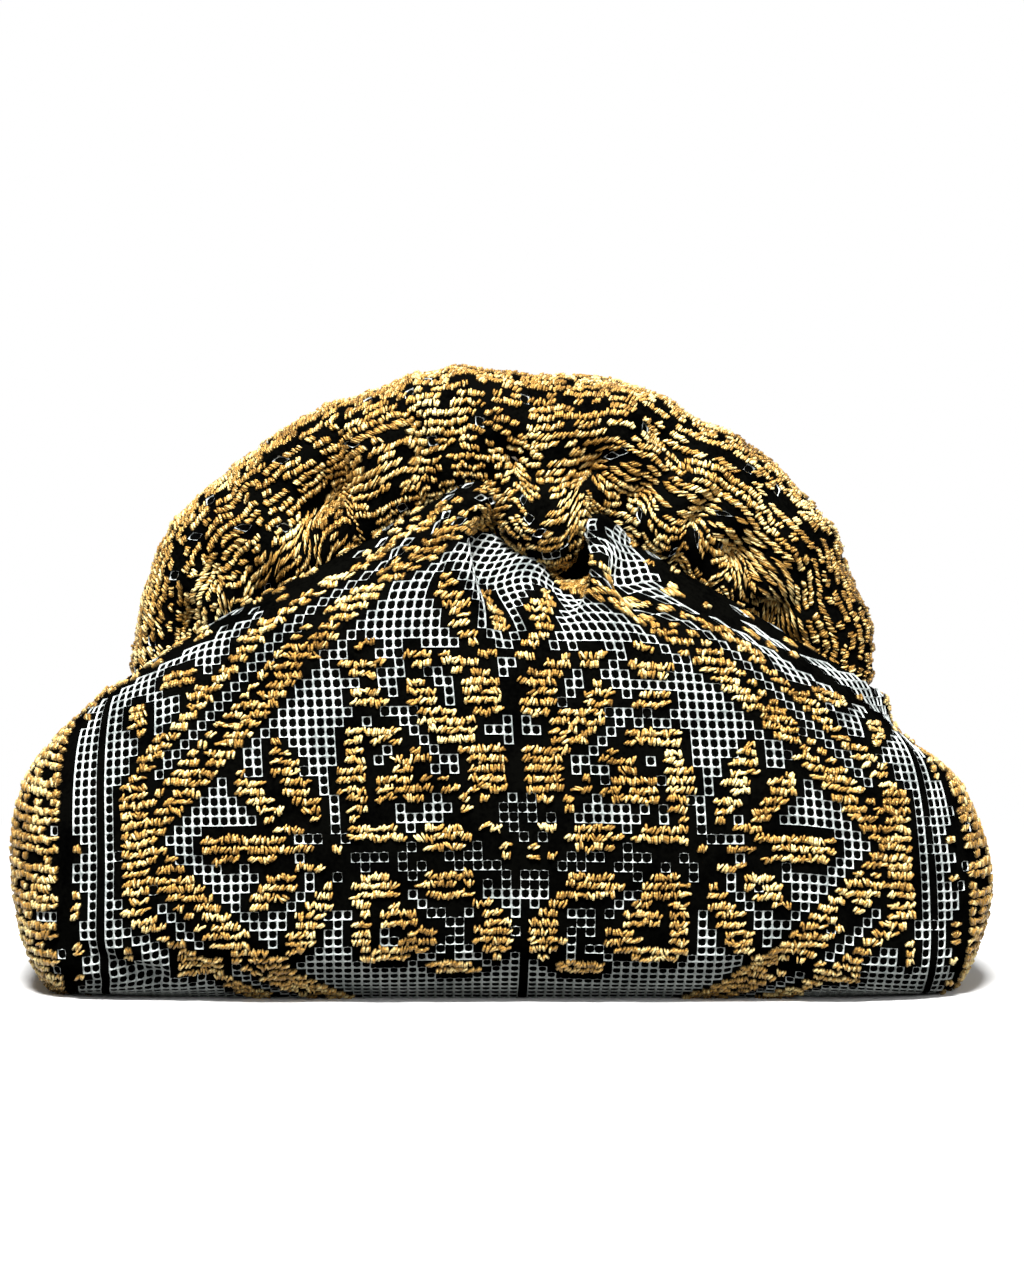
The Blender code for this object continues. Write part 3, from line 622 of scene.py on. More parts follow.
def rollSwell(surface, half):
    swell = roll["swell"] * ripples(surface, roll["swellSize"], seeds["rollSwell"][half])
    dimples = roll["dimples"] * ripples(surface, roll["dimpleSize"], seeds["rollDimples"][half])
    return (swell + dimples) * smoothstep(roll["looseFrom"], roll["looseTo"], -surface[..., 1])


def frontRollSurface():
    surface = rollSurface(fine["columns"], fine["rollSteps"], plain=False)
    inward = foldDepth(surface, roll["folds"], roll["mostFold"]) * facingFront(surface)
    inward += rollSwell(surface, "front")
    inward *= smoothstep(0, roll["heldRows"], np.arange(len(surface)))[:, None]
    return withEnds(pressed(surface, inward))


def rearRollSurface():
    surface = rollSurface(fine["columns"], fine["rollSteps"], plain=True)
    inward = gathers(surface, roll["top"], body["creaseEnd"]) * facingFront(surface)
    inward += rollSwell(surface, "rear")
    return withEnds(pressed(surface, inward))


def turnedRound(surface):
    # the rear pieces are the front ones mirrored in Y, still running from left to right seen from outside
    return surface[:, ::-1] * np.array([1.0, -1.0, 1.0])


# The weave: a lattice of cells laid over the cloth at an even pitch

weave = {
    "pitchAcross": 0.00229, "pitchUp": 0.00237,
    "dotHeight": 0.00022, "netHeight": 0.00036, "netFoot": 0.00006,
    # a hole's reach towards the corners, the middles of the lower and upper sides and those of the others
    "holeReach": (0.66, 0.91, 0.66, 0.82), "thinReach": 1.21,  # thin thread leaves a hole this much wider
    # a thread's shoulder: share of the way to the hole, and its height in net heights, also for thin thread
    "shoulder": 0.45, "crest": 0.2625, "thinCrest": 0.1225,
    # tufts: height in metres, width and length in cells, turn of the whole tuft and of each strand in degrees
    "fieldTuft": {"height": 0.0013, "width": 0.64, "length": 1.06, "sway": 22.0, "strandSway": 18.0},
    "rollTuft": {"height": 0.0013, "width": 0.62, "length": 0.93, "sway": 12.0, "strandSway": 9.0},
    "strands": {"front": 4, "rear": 3},  # in a tuft; mouth and base are as the rear
    "axis": 0.0046,  # where the ornament's middle column lies
    # shares of a whole cell: below the first three it has no ground, tuft or net, and above the last
    # the cloth is drawn so far apart that its net closes up
    "smallest": 0.02, "leastTuft": 0.25, "leastNet": 0.45, "mostStretched": 1.7,
    "mouthDepth": 0.0035,  # a roll's cells nearer than this to the middle plane are the mouth's
}
neighbours = ((0, 0), (0, 1), (1, 0), (1, 1))  # row and column steps to a cell's four corners


class Lattice:
    # corner points of the cells, with the row and column that each cell has in the cloth

    def __init__(self, surface, startRow, startX):
        steps = np.linalg.norm(np.diff(surface, axis=0), axis=2)
        along = np.vstack([np.zeros((1, surface.shape[1])), np.cumsum(steps, axis=0)])
        along -= along[startRow]
        low = math.floor(along.min() / weave["pitchUp"])
        heights = np.arange(low, math.ceil(along.max() / weave["pitchUp"]) + 1) * weave["pitchUp"]
        level = np.empty((len(heights), surface.shape[1], 3))
        for c in range(surface.shape[1]):
            for k in range(3):
                level[:, c, k] = np.interp(heights, along[:, c], surface[:, c, k])
        steps = np.linalg.norm(np.diff(level, axis=1), axis=2)
        across = np.hstack([np.zeros((len(heights), 1)), np.cumsum(steps, axis=1)])
        start = np.argmin(np.abs(surface[startRow, :, 0] - startX))
        across -= across[:, start:start + 1]
        left = math.floor(across.min() / weave["pitchAcross"])
        places = np.arange(left, math.ceil(across.max() / weave["pitchAcross"]) + 1) * weave["pitchAcross"]
        corners = np.empty((len(heights), len(places), 3))
        for r in range(len(heights)):
            for k in range(3):
                corners[r, :, k] = np.interp(places, across[r], level[r, :, k])
        self.corners = corners
        self.rows, self.columns = corners.shape[0] - 1, corners.shape[1] - 1
        rowNumbers, columnNumbers = np.arange(self.rows) + low + 0.5, np.arange(self.columns) + left + 0.5
        self.row, self.column = np.meshgrid(rowNumbers, columnNumbers, indexing="ij")
        a = corners[1:, 1:] - corners[:-1, :-1]
        b = corners[1:, :-1] - corners[:-1, 1:]
        normal = np.cross(a, b)
        area = 0.5 * np.linalg.norm(normal, axis=2)
        self.normal = unit(normal)
        self.size = area / (weave["pitchAcross"] * weave["pitchUp"])
        self.whole = self.size > weave["smallest"]
        self.centre = 0.25 * (corners[1:, 1:] + corners[:-1, :-1] + corners[1:, :-1] + corners[:-1, 1:])
        # points at every half step, with the cloth's normals there
        half = np.empty((2 * self.rows + 1, 2 * self.columns + 1, 3))
        half[::2, ::2] = corners
        half[::2, 1::2] = 0.5 * (corners[:, 1:] + corners[:, :-1])
        half[1::2, ::2] = 0.5 * (corners[1:] + corners[:-1])
        half[1::2, 1::2] = self.centre
        total = np.zeros((self.rows + 1, self.columns + 1, 3))
        weighted = self.normal * np.where(self.whole, self.size, 0.0)[..., None]
        for di, dj in neighbours:
            total[di:di + self.rows, dj:dj + self.columns] += weighted
        normals = np.empty_like(half)
        normals[::2, ::2] = total
        normals[::2, 1::2] = total[:, 1:] + total[:, :-1]
        normals[1::2, ::2] = total[1:] + total[:-1]
        normals[1::2, 1::2] = self.normal
        self.half, self.halfNormals = half, unit(normals)
        self.width = 2 * self.columns + 1


def groundCloth(name, lattice, knots):
    # the black ground; with knots it has a round lump of yarn in the middle of every cell
    i, j = np.nonzero(lattice.whole)
    if not knots:
        k = i * (lattice.columns + 1) + j
        quads = np.stack([k, k + 1, k + lattice.columns + 2, k + lattice.columns + 1], axis=1)
        return addMesh(name, lattice.corners.reshape(-1, 3), [quads], blackYarn)
    lift = np.zeros(lattice.half.shape[:2])
    lift[1::2, 1::2] = weave["dotHeight"] * np.minimum(1.0, lattice.size)
    points = (lattice.half + lattice.halfNormals * lift[..., None]).reshape(-1, 3)
    quads = []
    for di, dj in neighbours:
        k = (2 * i + di) * lattice.width + 2 * j + dj
        quads.append(np.stack([k, k + 1, k + lattice.width + 1, k + lattice.width], axis=1))
    return addMesh(name, points, [np.concatenate(quads)], blackYarn)


def netCloth(name, lattice, chosen, thin, rounded):
    # white thread round each chosen cell, widest where threads cross; thin marks cells that show little of it
    outer = (lattice.half + lattice.halfNormals * weave["netHeight"]).reshape(-1, 3)
    low = (lattice.half + lattice.halfNormals * weave["netFoot"]).reshape(-1, 3)
    held = (lattice.size > weave["leastNet"]) & (lattice.size < weave["mostStretched"])
    i, j = np.nonzero(chosen & held)
    ringSteps = ((0, 0), (0, 1), (0, 2), (1, 2), (2, 2), (2, 1), (2, 0), (1, 0))
    outerIndex = np.stack([(2 * i + di) * lattice.width + 2 * j + dj for di, dj in ringSteps], axis=1)
    middle = (lattice.centre + lattice.normal * weave["netFoot"])[i, j][:, None, :]
    reach = np.where(thin[i, j], weave["thinReach"], 1.0)[:, None] * np.array(weave["holeReach"] * 2)
    inner = middle + (low[outerIndex] - middle) * reach[..., None]
    rings, points = [outerIndex], [outer]
    if rounded:
        crest = np.where(thin[i, j], weave["thinCrest"], weave["crest"])[:, None, None]
        shoulder = inner + weave["shoulder"] * (outer[outerIndex] - inner)
        shoulder += lattice.normal[i, j][:, None, :] * weave["netHeight"] * crest
        rings.append(len(outer) + np.arange(len(i) * 8).reshape(-1, 8))
        points.append(shoulder.reshape(-1, 3))
    rings.append(sum(len(part) for part in points) + np.arange(len(i) * 8).reshape(-1, 8))
    points.append(inner.reshape(-1, 3))
    quads = []
    for near, far in zip(rings, rings[1:]):
        for k in range(8):
            n = (k + 1) % 8
            quads.append(np.stack([near[:, k], near[:, n], far[:, n], far[:, k]], axis=1))
    return addMesh(name, np.concatenate(points), [np.concatenate(quads)], netYarn)


strand = {
    "slant": -26.0,  # degrees that the tufts lean from upright
    "strayAcross": 0.05, "strayUp": 0.09,  # of tufts and of strands, in cells
    # least and most, as shares, of a tuft's height and of its strands' length, width and height
    "plump": (0.75, 1.15), "long": (0.75, 1.12), "wide": (0.75, 1.2), "high": (0.6, 1.15),
    "drop": 0.8,  # the outer strands of a tuft are this much of their place squared shorter and lower
    "profile": ((-1.0, 0.0), (-0.6, 0.9), (0.6, 0.9), (1.0, 0.0)),  # aside and up
    "bends": ((0.14, 0.85), (0.80, 1.0)),  # share of the length, share of the height
    "tip": 0.2,  # share of the height at the far end
    "millimetres": 1.9,  # usual length, for the film's turns
}


def tufts(name, lattice, chosen, strands, seed, shape):
    # in each chosen cell short slanting loops of film yarn, side by side and unevenly proud
    draw = np.random.default_rng(seed)
    i, j = np.nonzero(chosen & (lattice.size > weave["leastTuft"]))
    count = len(i)
    right = lattice.half[2 * i + 1, 2 * j + 2] - lattice.half[2 * i + 1, 2 * j]
    up = lattice.half[2 * i + 2, 2 * j + 1] - lattice.half[2 * i, 2 * j + 1]
    normal, centre = lattice.normal[i, j], lattice.centre[i, j]
    strayAcross, strayUp = strand["strayAcross"], strand["strayUp"]
    centre = centre + right * draw.normal(0.0, strayAcross, count)[:, None]
    centre = centre + up * draw.normal(0.0, strayUp, count)[:, None]
    sway = draw.normal(strand["slant"], shape["sway"], count)
    plump = draw.uniform(*strand["plump"], count)
    points, uvs = [], []
    for s in range(strands):
        lean = np.radians(90.0 + sway + draw.normal(0.0, shape["strandSway"], count))[:, None]
        place = (s + 0.5) / strands - 0.5
        middle = 1.0 - strand["drop"] * place**2
        length = shape["length"] * middle * draw.uniform(*strand["long"], count)[:, None]
        width = shape["width"] / strands * draw.uniform(*strand["wide"], count)[:, None]
        rise = shape["height"] * middle * (plump * draw.uniform(*strand["high"], count))[:, None]
        along = right * np.cos(lean) + up * np.sin(lean)
        aside = right * np.sin(lean) - up * np.cos(lean)
        place = place + draw.normal(0.0, strayAcross, count)
        shift = draw.normal(0.0, strayUp, count)
        foot = centre - 0.5 * length * along + right * place[:, None] + up * shift[:, None]
        made = [foot]
        uv = [np.zeros((count, 2))]
        for t, high in strand["bends"]:
            for out, lift in strand["profile"]:
                made.append(foot + along * length * t + aside * width * out + normal * rise * high * lift)
                runs = np.full(count, strand["millimetres"] * t)
                # U, how proud the point stands, sets the gold's painted shade, darkest at a strand's foot and
                # sides
                uv.append(np.stack([np.full(count, lift * high), runs], axis=1))
        made.append(foot + along * length + normal * rise * strand["tip"])
        uv.append(np.stack([np.full(count, strand["tip"]), np.full(count, strand["millimetres"])], axis=1))
        points.append(np.stack(made, axis=1))
        uvs.append(np.stack(uv, axis=1))
    points, uvs = np.concatenate(points), np.concatenate(uvs)
    total, perStrand = points.shape[:2]
    first = (np.arange(total) * perStrand)[:, None]
    sides = len(strand["profile"])
    triangles, quads = [], []
    for k in range(sides - 1):
        triangles.append(first + np.array([0, 2 + k, 1 + k]))
        quads.append(first + np.array([1 + k, 2 + k, 2 + sides + k, 1 + sides + k]))
        triangles.append(first + np.array([1 + 2 * sides, 1 + sides + k, 2 + sides + k]))
    faces = [np.concatenate(quads), np.concatenate(triangles)]
    return addMesh(name, points.reshape(-1, 3), faces, goldYarn, uv=uvs.reshape(-1, 2))


# The ornament, drawn by rule: lozenge bands round a rosette, scrolls and leaf sprays, mirrored about its axis

# lengths and places are in cells, counted from the axis and from row 0
ornament = {
    "levelHeight": 0.0350,  # metres above the floor, of row 0
    "lozengeRow": 3.0,
    # bands by their distance from the lozenge's middle, each with its half width, and how they are stepped
    "innerBand": 40.4, "innerHalf": 1.7, "innerStep": 0.8,
    "thinBand": 43.7, "thinHalf": 0.6, "thinBlack": 1.6, "thinShort": 1.5,
    "outerBand": 48.5, "outerHalf": 1.3, "outerStep": 0.7, "outerEnd": 41.5, "stepRows": 3.0,
    # upright lines at the sides
    "fieldEdge": 43, "innerLine": 45.4, "innerLineHalf": 0.8, "fleckLine": 48.9, "fleckHalf": 0.6,
    "outerLine": 50.4, "outerLineHalf": 1.0, "sideEdge": 51.4,
    "axisHalf": 0.6, "axisTop": 21.0, "axisGap": (1.5, 5.0),  # the gap's middle row and half height
    # chances of a cell: gold is kept, gap in a side's row, fleck, outline above or below gold
    "goldKept": 0.97, "sideGap": 0.45, "fleck": 0.3, "outlined": 0.8,
    # painted shadow of the roll on the crease, drawn as black cells: where the crease faces up by at least
    # this and lies above this much below its ends, away from the notch
    "creaseShadowUp": 0.68, "creaseShadowBelow": 0.01, "notchWidths": 1.3, "goldInCreaseShadow": 0.5, "creaseShadowFleck": 0.12,
    "thinInBlack": 0.04, "thinInDim": 0.6,  # chances of a little thin net
    # leaves and petals in cells: column, row, half length, half width, slope in degrees
    "leaves": (
        (29.6, 2.2, 4.8, 1.7, 0), (27.6, 7.3, 3.4, 1.3, 54), (23.5, 8.8, 4.7, 1.4, 63),
        (26.8, -2.6, 3.1, 1.3, -35), (22.5, -5.8, 4.3, 1.4, -62),
        (24.3, 3.9, 1.6, 0.7, 0), (23.4, 1.9, 1.4, 0.7, 0), (22.6, -0.2, 1.3, 0.7, 0),
        (19.6, 1.6, 1.2, 0.6, 0),
    ),
    "scrolls": (
        (15.1, 13.5, 3.5, 1.3, 0), (17.3, 8.8, 4.2, 1.3, 90), (12.2, 8.2, 3.0, 1.9, 0),
        (10.9, 11.2, 1.9, 0.8, -10),
        (15.9, 3.7, 2.6, 1.0, 0), (13.4, 2.6, 1.4, 0.6, 0),
        (15.5, -2.1, 2.8, 1.5, 0), (17.0, -6.6, 3.4, 1.2, 90), (13.0, -5.4, 2.0, 1.5, 0),
        (11.0, -8.2, 2.2, 1.3, -35), (14.4, -9.4, 3.4, 0.9, 0),
    ),
    "rosette": (
        (2.9, 9.9, 3.1, 2.3, 90), (2.7, -7.4, 2.7, 2.1, 90), (8.0, 3.0, 2.8, 1.8, 0),
        (7.7, -2.0, 3.1, 1.8, 0),
        (7.3, 8.6, 1.4, 0.8, 45), (5.3, 6.6, 1.3, 0.6, 90), (2.8, 4.4, 1.2, 0.6, 0), (1.7, 1.4, 1.2, 0.6, 90),
        (4.2, -4.0, 1.3, 0.7, 45), (3.8, 0.6, 1.0, 0.5, 0),
    ),
    "crown": (
        (8.7, 16.0, 4.5, 1.3, 60), (5.4, 14.3, 3.0, 1.2, 75), (2.9, 17.7, 2.7, 1.9, 90),
        (4.9, 20.8, 2.8, 1.0, 15), (3.5, 23.6, 3.4, 1.0, 46), (6.2, 27.9, 3.0, 1.0, 45),
        (0.5, 27.5, 2.7, 0.7, 90), (9.5, 21.8, 1.9, 0.9, 10),
        (15.4, 20.9, 2.3, 1.1, 0), (15.1, 17.2, 2.2, 1.1, 0), (15.0, 22.8, 1.0, 0.6, 0),
    ),
    # where hardly any net shows
    "dim": (
        (0.0, 1.8, 8.0, 4.6, 0), (13.5, 0.8, 5.5, 2.4, 0), (20.0, 1.6, 2.6, 3.4, 0), (8.0, -7.0, 3.0, 3.4, 0),
    ),
    "corners": (
        (40.9, 16.9, 2.1, 1.1, 90), (36.2, 20.4, 2.1, 1.2, 0), (26.5, -10.6, 2.1, 0.9, 0),
        (6.8, -11.3, 3.3, 1.0, 0),
        (34.4, -10.9, 2.8, 1.3, -25), (42.2, -8.0, 1.5, 0.7, 90),
    ),
}


def inShape(a, b, shape):
    column, row, halfLength, halfWidth, slope = shape
    c, s = math.cos(math.radians(slope)), math.sin(math.radians(slope))
    along, aside = (a - column) * c + (b - row) * s, (b - row) * c - (a - column) * s
    return (along / halfLength) ** 2 + (aside / halfWidth) ** 2 <= 1.0


def beside(mask):
    wide = mask.copy()
    wide[:, 1:] |= mask[:, :-1]
    wide[:, :-1] |= mask[:, 1:]
    return wide


def aboveAndBelow(mask):
    wide = mask.copy()
    wide[1:] |= mask[:-1]
    wide[:-1] |= mask[1:]
    return wide


def scatter(lattice, seed):
    return np.random.default_rng(seed).random((lattice.rows, lattice.columns))


def fieldKinds(lattice):
    # for every cell of a panel 1 gold, 2 net, 3 bare black, which also paints the roll's shadow on the
    # crease, 4 black with a little thin net
    middle = np.argmin(np.abs(lattice.column[0]))
    heights = lattice.centre[:lattice.rows // 2, middle, 2]
    levelRow = lattice.row[np.argmin(np.abs(heights - ornament["levelHeight"])), 0]
    a = np.abs(lattice.column)
    b = lattice.row - levelRow
    reach = a + np.abs(b - ornament["lozengeRow"])
    fromThin = np.abs(reach - ornament["thinBand"])
    steps = np.floor(b / ornament["stepRows"]) % 2
    inner = np.abs(reach - ornament["innerBand"] - ornament["innerStep"] * steps) < ornament["innerHalf"]
    thin = (fromThin < ornament["thinHalf"]) & (a < ornament["outerEnd"] - ornament["thinShort"])
    past = np.maximum(
        reach - ornament["outerBand"] + ornament["outerStep"] * steps, a - ornament["outerEnd"]
    )
    field = a < ornament["fieldEdge"]
    gold = (inner | thin | (np.abs(past) < ornament["outerHalf"])) & field
    for group in ("leaves", "scrolls", "rosette", "crown", "corners"):
        for shape in ornament[group]:
            gold |= inShape(a, b, shape)
    gapRow, gapHalf = ornament["axisGap"]
    axisLine = (a < ornament["axisHalf"]) & (lattice.column > 0.0) & (b < ornament["axisTop"])
    axisLine &= np.abs(b - gapRow) > gapHalf
    gold &= ~axisLine
    gold &= scatter(lattice, seeds["missing"]) < ornament["goldKept"]
    sideGap = (lattice.row % 3 < 1) & (scatter(lattice, seeds["sideGaps"]) < ornament["sideGap"])
    gold |= (a > ornament["sideEdge"]) & ~sideGap
    fleck = scatter(lattice, seeds["flecks"]) < ornament["fleck"]
    gold |= (np.abs(a - ornament["fleckLine"]) < ornament["fleckHalf"]) & fleck
    outlined = scatter(lattice, seeds["outlines"]) < ornament["outlined"]
    black = beside(gold) | (aboveAndBelow(gold) & outlined)
    dim = np.zeros_like(black)
    for shape in ornament["dim"]:
        dim |= inShape(a, b, shape)
    black |= (fromThin < ornament["thinBlack"]) & field
    black |= np.abs(a - ornament["innerLine"]) < ornament["innerLineHalf"]
    black |= (np.abs(a - ornament["outerLine"]) < ornament["outerLineHalf"]) | axisLine
    # painted shadow: cells just under the roll that face up are made black, some gold is kept in them and a
    # few gold flecks are added
    notchX, _, notchHalf = body["peaks"][1]
    crease = lattice.normal[..., 2] > ornament["creaseShadowUp"]
    crease &= lattice.centre[..., 2] > body["creaseEnd"] - ornament["creaseShadowBelow"]
    crease &= np.abs(lattice.centre[..., 0] - notchX) > ornament["notchWidths"] * notchHalf
    gold &= ~crease | (scatter(lattice, seeds["goldInCreaseShadow"]) < ornament["goldInCreaseShadow"])
    gold |= crease & (scatter(lattice, seeds["creaseShadowFlecks"]) < ornament["creaseShadowFleck"])
    return np.where(gold, 1, np.where(black | crease, 3, np.where(dim, 4, 2)))


# the roll's gold in uneven patches: their size in cells, how much they stray in it, their black outlines
paving = {
    "width": 4.4, "height": 3.0, "stray": 0.42, "outline": 0.58, "outlined": 0.75,
    "darkRow": 6, "darkShare": 0.4,  # every sixth row has so many dark cells
    "thinNet": 0.06,  # chance of a little thin net in a black cell
}


def cobbles(lattice, width, height, seed):
    # how far each cell lies inside its own patch of an uneven paving, in cells
    draw = np.random.default_rng(seed)
    stray = paving["stray"]
    places = np.array([
        (x + draw.uniform(-stray, stray) * width, y + draw.uniform(-stray, stray) * height)
        for x in np.arange(lattice.column.min() - width, lattice.column.max() + 2 * width, width)
        for y in np.arange(lattice.row.min() - height, lattice.row.max() + 2 * height, height)
    ])
    away = np.hypot(
        lattice.column[..., None] - places[:, 0], (lattice.row[..., None] - places[:, 1]) * width / height
    )
    away.partition(1, axis=2)
    return away[..., 1] - away[..., 0]


def rollKinds(lattice):
    # the border of the same cloth: packed gold broken by black outlines and a few dark rows
    chance = scatter(lattice, seeds["rollGaps"])
    inPatch = cobbles(lattice, paving["width"], paving["height"], seeds["cobbles"])
    outlines = (inPatch < paving["outline"]) & (chance < paving["outlined"])
    rows = (np.floor(lattice.row) % paving["darkRow"] == 0) & (chance < paving["darkShare"])
    return np.where(outlines | rows, 3, 1)


print("rules set")

# The four outer cloths


def bend(piece):
    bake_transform(piece)


def addPanel(half, surface):
    front, seed = half == "front", seeds["panel"][half]
    lattice = Lattice(surface, startRow=fine["panelSteps"][0], startX=weave["axis"])
    kinds = fieldKinds(lattice)
    chance = scatter(lattice, seed)
    thin = (kinds == 3) & (chance < ornament["thinInBlack"])
    thin |= (kinds == 4) & (chance < ornament["thinInDim"])
    ground = groundCloth(half + "_panel_ground", lattice, knots=front)
    net = netCloth(half + "_panel_net", lattice, (kinds == 2) | thin, thin, rounded=front)
    strands = weave["strands"][half]
    gold = tufts(half + "_panel_gold", lattice, kinds == 1, strands, seed + 1, weave["fieldTuft"])
    for piece, slotName in ((ground, "net_weave"), (net, "net_weave"), (gold, "gold_brocade")):
        bend(piece)
    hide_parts(half + "_panel")


def addRoll(half, surface):
    front, seed = half == "front", seeds["roll"][half]
    lattice = Lattice(surface, startRow=sum(fine["rollSteps"][:4]), startX=0.0)
    kinds = rollKinds(lattice)
    showing = np.abs(lattice.centre[..., 1]) > weave["mouthDepth"]
    thin = (kinds == 3) & showing & (scatter(lattice, seed) < paving["thinNet"])
    ground = groundCloth(half + "_roll_ground", lattice, knots=front)
    net = netCloth(half + "_roll_net", lattice, thin, thin, rounded=front)
    tuft, strands = weave["rollTuft"], weave["strands"]
    gold = tufts(half + "_roll_gold", lattice, (kinds == 1) & showing, strands[half], seed, tuft)
    hidden = (kinds == 1) & ~showing
    mouth = tufts(half + "_roll_mouth_gold", lattice, hidden, strands["rear"], seed + 1, tuft)
    for piece, slotName in (
        (ground, "gold_brocade"), (net, "net_weave"), (gold, "gold_brocade"), (mouth, "gold_brocade")
    ):
        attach(piece, half + "_frame")
    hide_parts(half + "_frame_cover")


addPanel("front", frontPanelSurface())
addPanel("rear", turnedRound(rearPanelSurface()))
print("panels woven")
addRoll("front", frontRollSurface())
addRoll("rear", turnedRound(rearRollSurface()))
print("rolls woven")

# Lining, pocket, base cloth and wadding

inside = {
    "gap": 0.0003, "seamGap": 0.0002,  # between a cloth and the next, and between the linings at the sides
    "liningPlay": 0.0007, "hipPlace": 0.45, "hemTuck": 0.0012,
    # where the lining is tucked under the roll: share of the roll's depth, drop below the hinge, spread
    "tuck": 0.62, "tuckDrop": 0.007, "tuckSpread": 1.03,
    "crumple": 0.0006, "crumpleSizes": (0.022, 0.009), "smoothRows": 4,  # rows at the hem that stay smooth
    "columns": 150, "steps": (14, 16, 16, 8),
    "pocketWidth": 0.096, "pocketLow": 0.016, "pocketHigh": 0.060, "pocketStand": 0.0016,
    "pocketColumns": 61, "pocketRows": 41,
    "waddingColumns": 110, "waddingSteps": (4, 6, 5, 4, 5, 3, 5, 3),
    # how far the wadding keeps inside its casing: all round, at the front, and in a fold as a share of it
    "waddingInset": 0.0024, "waddingFree": 0.0034, "waddingSink": 1.3,
    "waddingRipple": 0.0005, "waddingRippleSize": 0.012,
    "baseHeight": 0.0012, "baseRows": 60, "baseRipple": 0.0002, "baseRippleSize": 0.03,
    # the hollow that the wadding leaves for a magnet
    "magnetX": 0.022, "magnetReach": 0.0075, "magnetHollow": 0.0020, "magnetRim": 0.002,
}


def liningSurface(plain):
    columns = inside["columns"]
    inset = 2 * (cloth["thickness"] + inside["gap"] + inside["liningPlay"])
    browZ = panelRings(columns, plain=True)[5][:, 2]
    belly = halfRing(body["bellyWidth"] - inset, body["bellyDepth"] - inset, body["bellyPower"], columns)
    hip = halfRing(body["hipWidth"] - 3 * inset, body["hipDepth"] - 3 * inset, body["hipPower"], columns)
    seam, top, _ = rollFrame(columns, plain)
    hem = seam + roll["hem"] * (top - seam)
    hemY = -0.5 * roll["mouthGap"] - inside["gap"]
    across = np.abs(hem[:, 0]) / hem[:, 0].max()
    tuckY = -roll["depth"] * inside["tuck"] * (1.0 - across**4)
    tuckZ = hem[:, 1] - (roll["base"] - roll["hingeHeight"]) - inside["tuckDrop"]
    footZ = 2 * cloth["thickness"] + cloth["board"] + 3 * inside["gap"] + cloth["lining"]
    controls = [
        atHeight(baseRing(inset, 0.5 * body["baseRound"], columns), footZ),
        bellyLine(belly),
        hipLine(hip, browZ, inside["hipPlace"]),
        np.column_stack([hem[:, 0] * inside["tuckSpread"], tuckY, tuckZ]),
        np.column_stack([hem[:, 0], np.full(columns, hemY), hem[:, 1] + inside["hemTuck"]]),
    ]
    surface = loft(np.array(controls), inside["steps"])
    surface[..., 1] -= 0.5 * inside["seamGap"]
    coarse, small = (ripples(surface, *pair) for pair in zip(inside["crumpleSizes"], seeds["liningCrumple"]))
    crumple = inside["crumple"] * (1.0 + coarse + small)
    crumple[-inside["smoothRows"]:] = 0.0
    return pressed(surface, crumple)


def addSheet(name, surface, material):
    return addMesh(name, surface.reshape(-1, 3), [gridFaces(*surface.shape[:2])], material)


def addLining(half, surface):
    lining = addSheet(half + "_lining_cloth", surface, liningSatin)
    bend(lining)
    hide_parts(half + "_lining")


def addPocket():
    # it lies on the rear lining and stands a little off it along its open edge
    lining = liningSurface(plain=True)
    across = np.linspace(-0.5, 0.5, inside["pocketColumns"]) * inside["pocketWidth"]
    heights = np.linspace(inside["pocketLow"], inside["pocketHigh"], inside["pocketRows"])
    depth = np.empty((len(heights), len(across)))
    for r, height in enumerate(heights):
        x = [np.interp(height, column[:, 2], column[:, 0]) for column in np.transpose(lining, (1, 0, 2))]
        y = [np.interp(height, column[:, 2], column[:, 1]) for column in np.transpose(lining, (1, 0, 2))]
        depth[r] = np.interp(across, x, y)
    share = (heights - heights[0]) / (heights[-1] - heights[0])
    slack = 1.0 - (2.0 * across / inside["pocketWidth"]) ** 4
    depth += inside["pocketStand"] + inside["pocketStand"] * share[:, None] ** 2 * slack
    x, z = np.broadcast_to(across, depth.shape), np.broadcast_to(heights[:, None], depth.shape)
    surface = np.stack([x, -depth, z], axis=-1)
    pocket = addSheet("slip_pocket_cloth", surface[:, ::-1], liningSatin)
    bend(pocket)  # sewn to the rear lining
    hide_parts("slip_pocket")


def baseSurface(inset, further, height, down):
    ring = baseRing(inset, further, fine["columns"])
    share = np.linspace(1.0, -1.0, inside["baseRows"])[:, None] * (1.0 if down else -1.0)
    y = -share * ring[:, 1]
    return np.stack([np.broadcast_to(ring[:, 0], y.shape), y, np.full(y.shape, height)], axis=-1)


def addBase():
    surface = baseSurface(body["underEdge"], body["baseRound"], inside["baseHeight"], down=True)
    lattice = Lattice(surface, startRow=inside["baseRows"] // 2, startX=0.0)
    kinds = rollKinds(lattice)
    ground = groundCloth("base_panel_ground", lattice, knots=False)
    strands = weave["strands"]["rear"]
    gold = tufts("base_panel_gold", lattice, kinds == 1, strands, seeds["base"], weave["rollTuft"])
    for piece in (ground, gold):
        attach(piece, "pouch")
    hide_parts("base_panel")
    inset = body["underEdge"] + cloth["thickness"] + 2 * inside["gap"]
    height = 2 * cloth["thickness"] + cloth["board"] + 2 * inside["gap"]
    surface = baseSurface(inset, 0.5 * body["baseRound"], height, down=False)
    wave = ripples(surface[..., [0, 2, 1]], inside["baseRippleSize"], seeds["baseLining"])
    surface[..., 2] += inside["baseRipple"] * wave
    lining = addSheet("base_lining_cloth", surface, liningSatin)
    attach(lining, "pouch")
    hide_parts("base_lining")


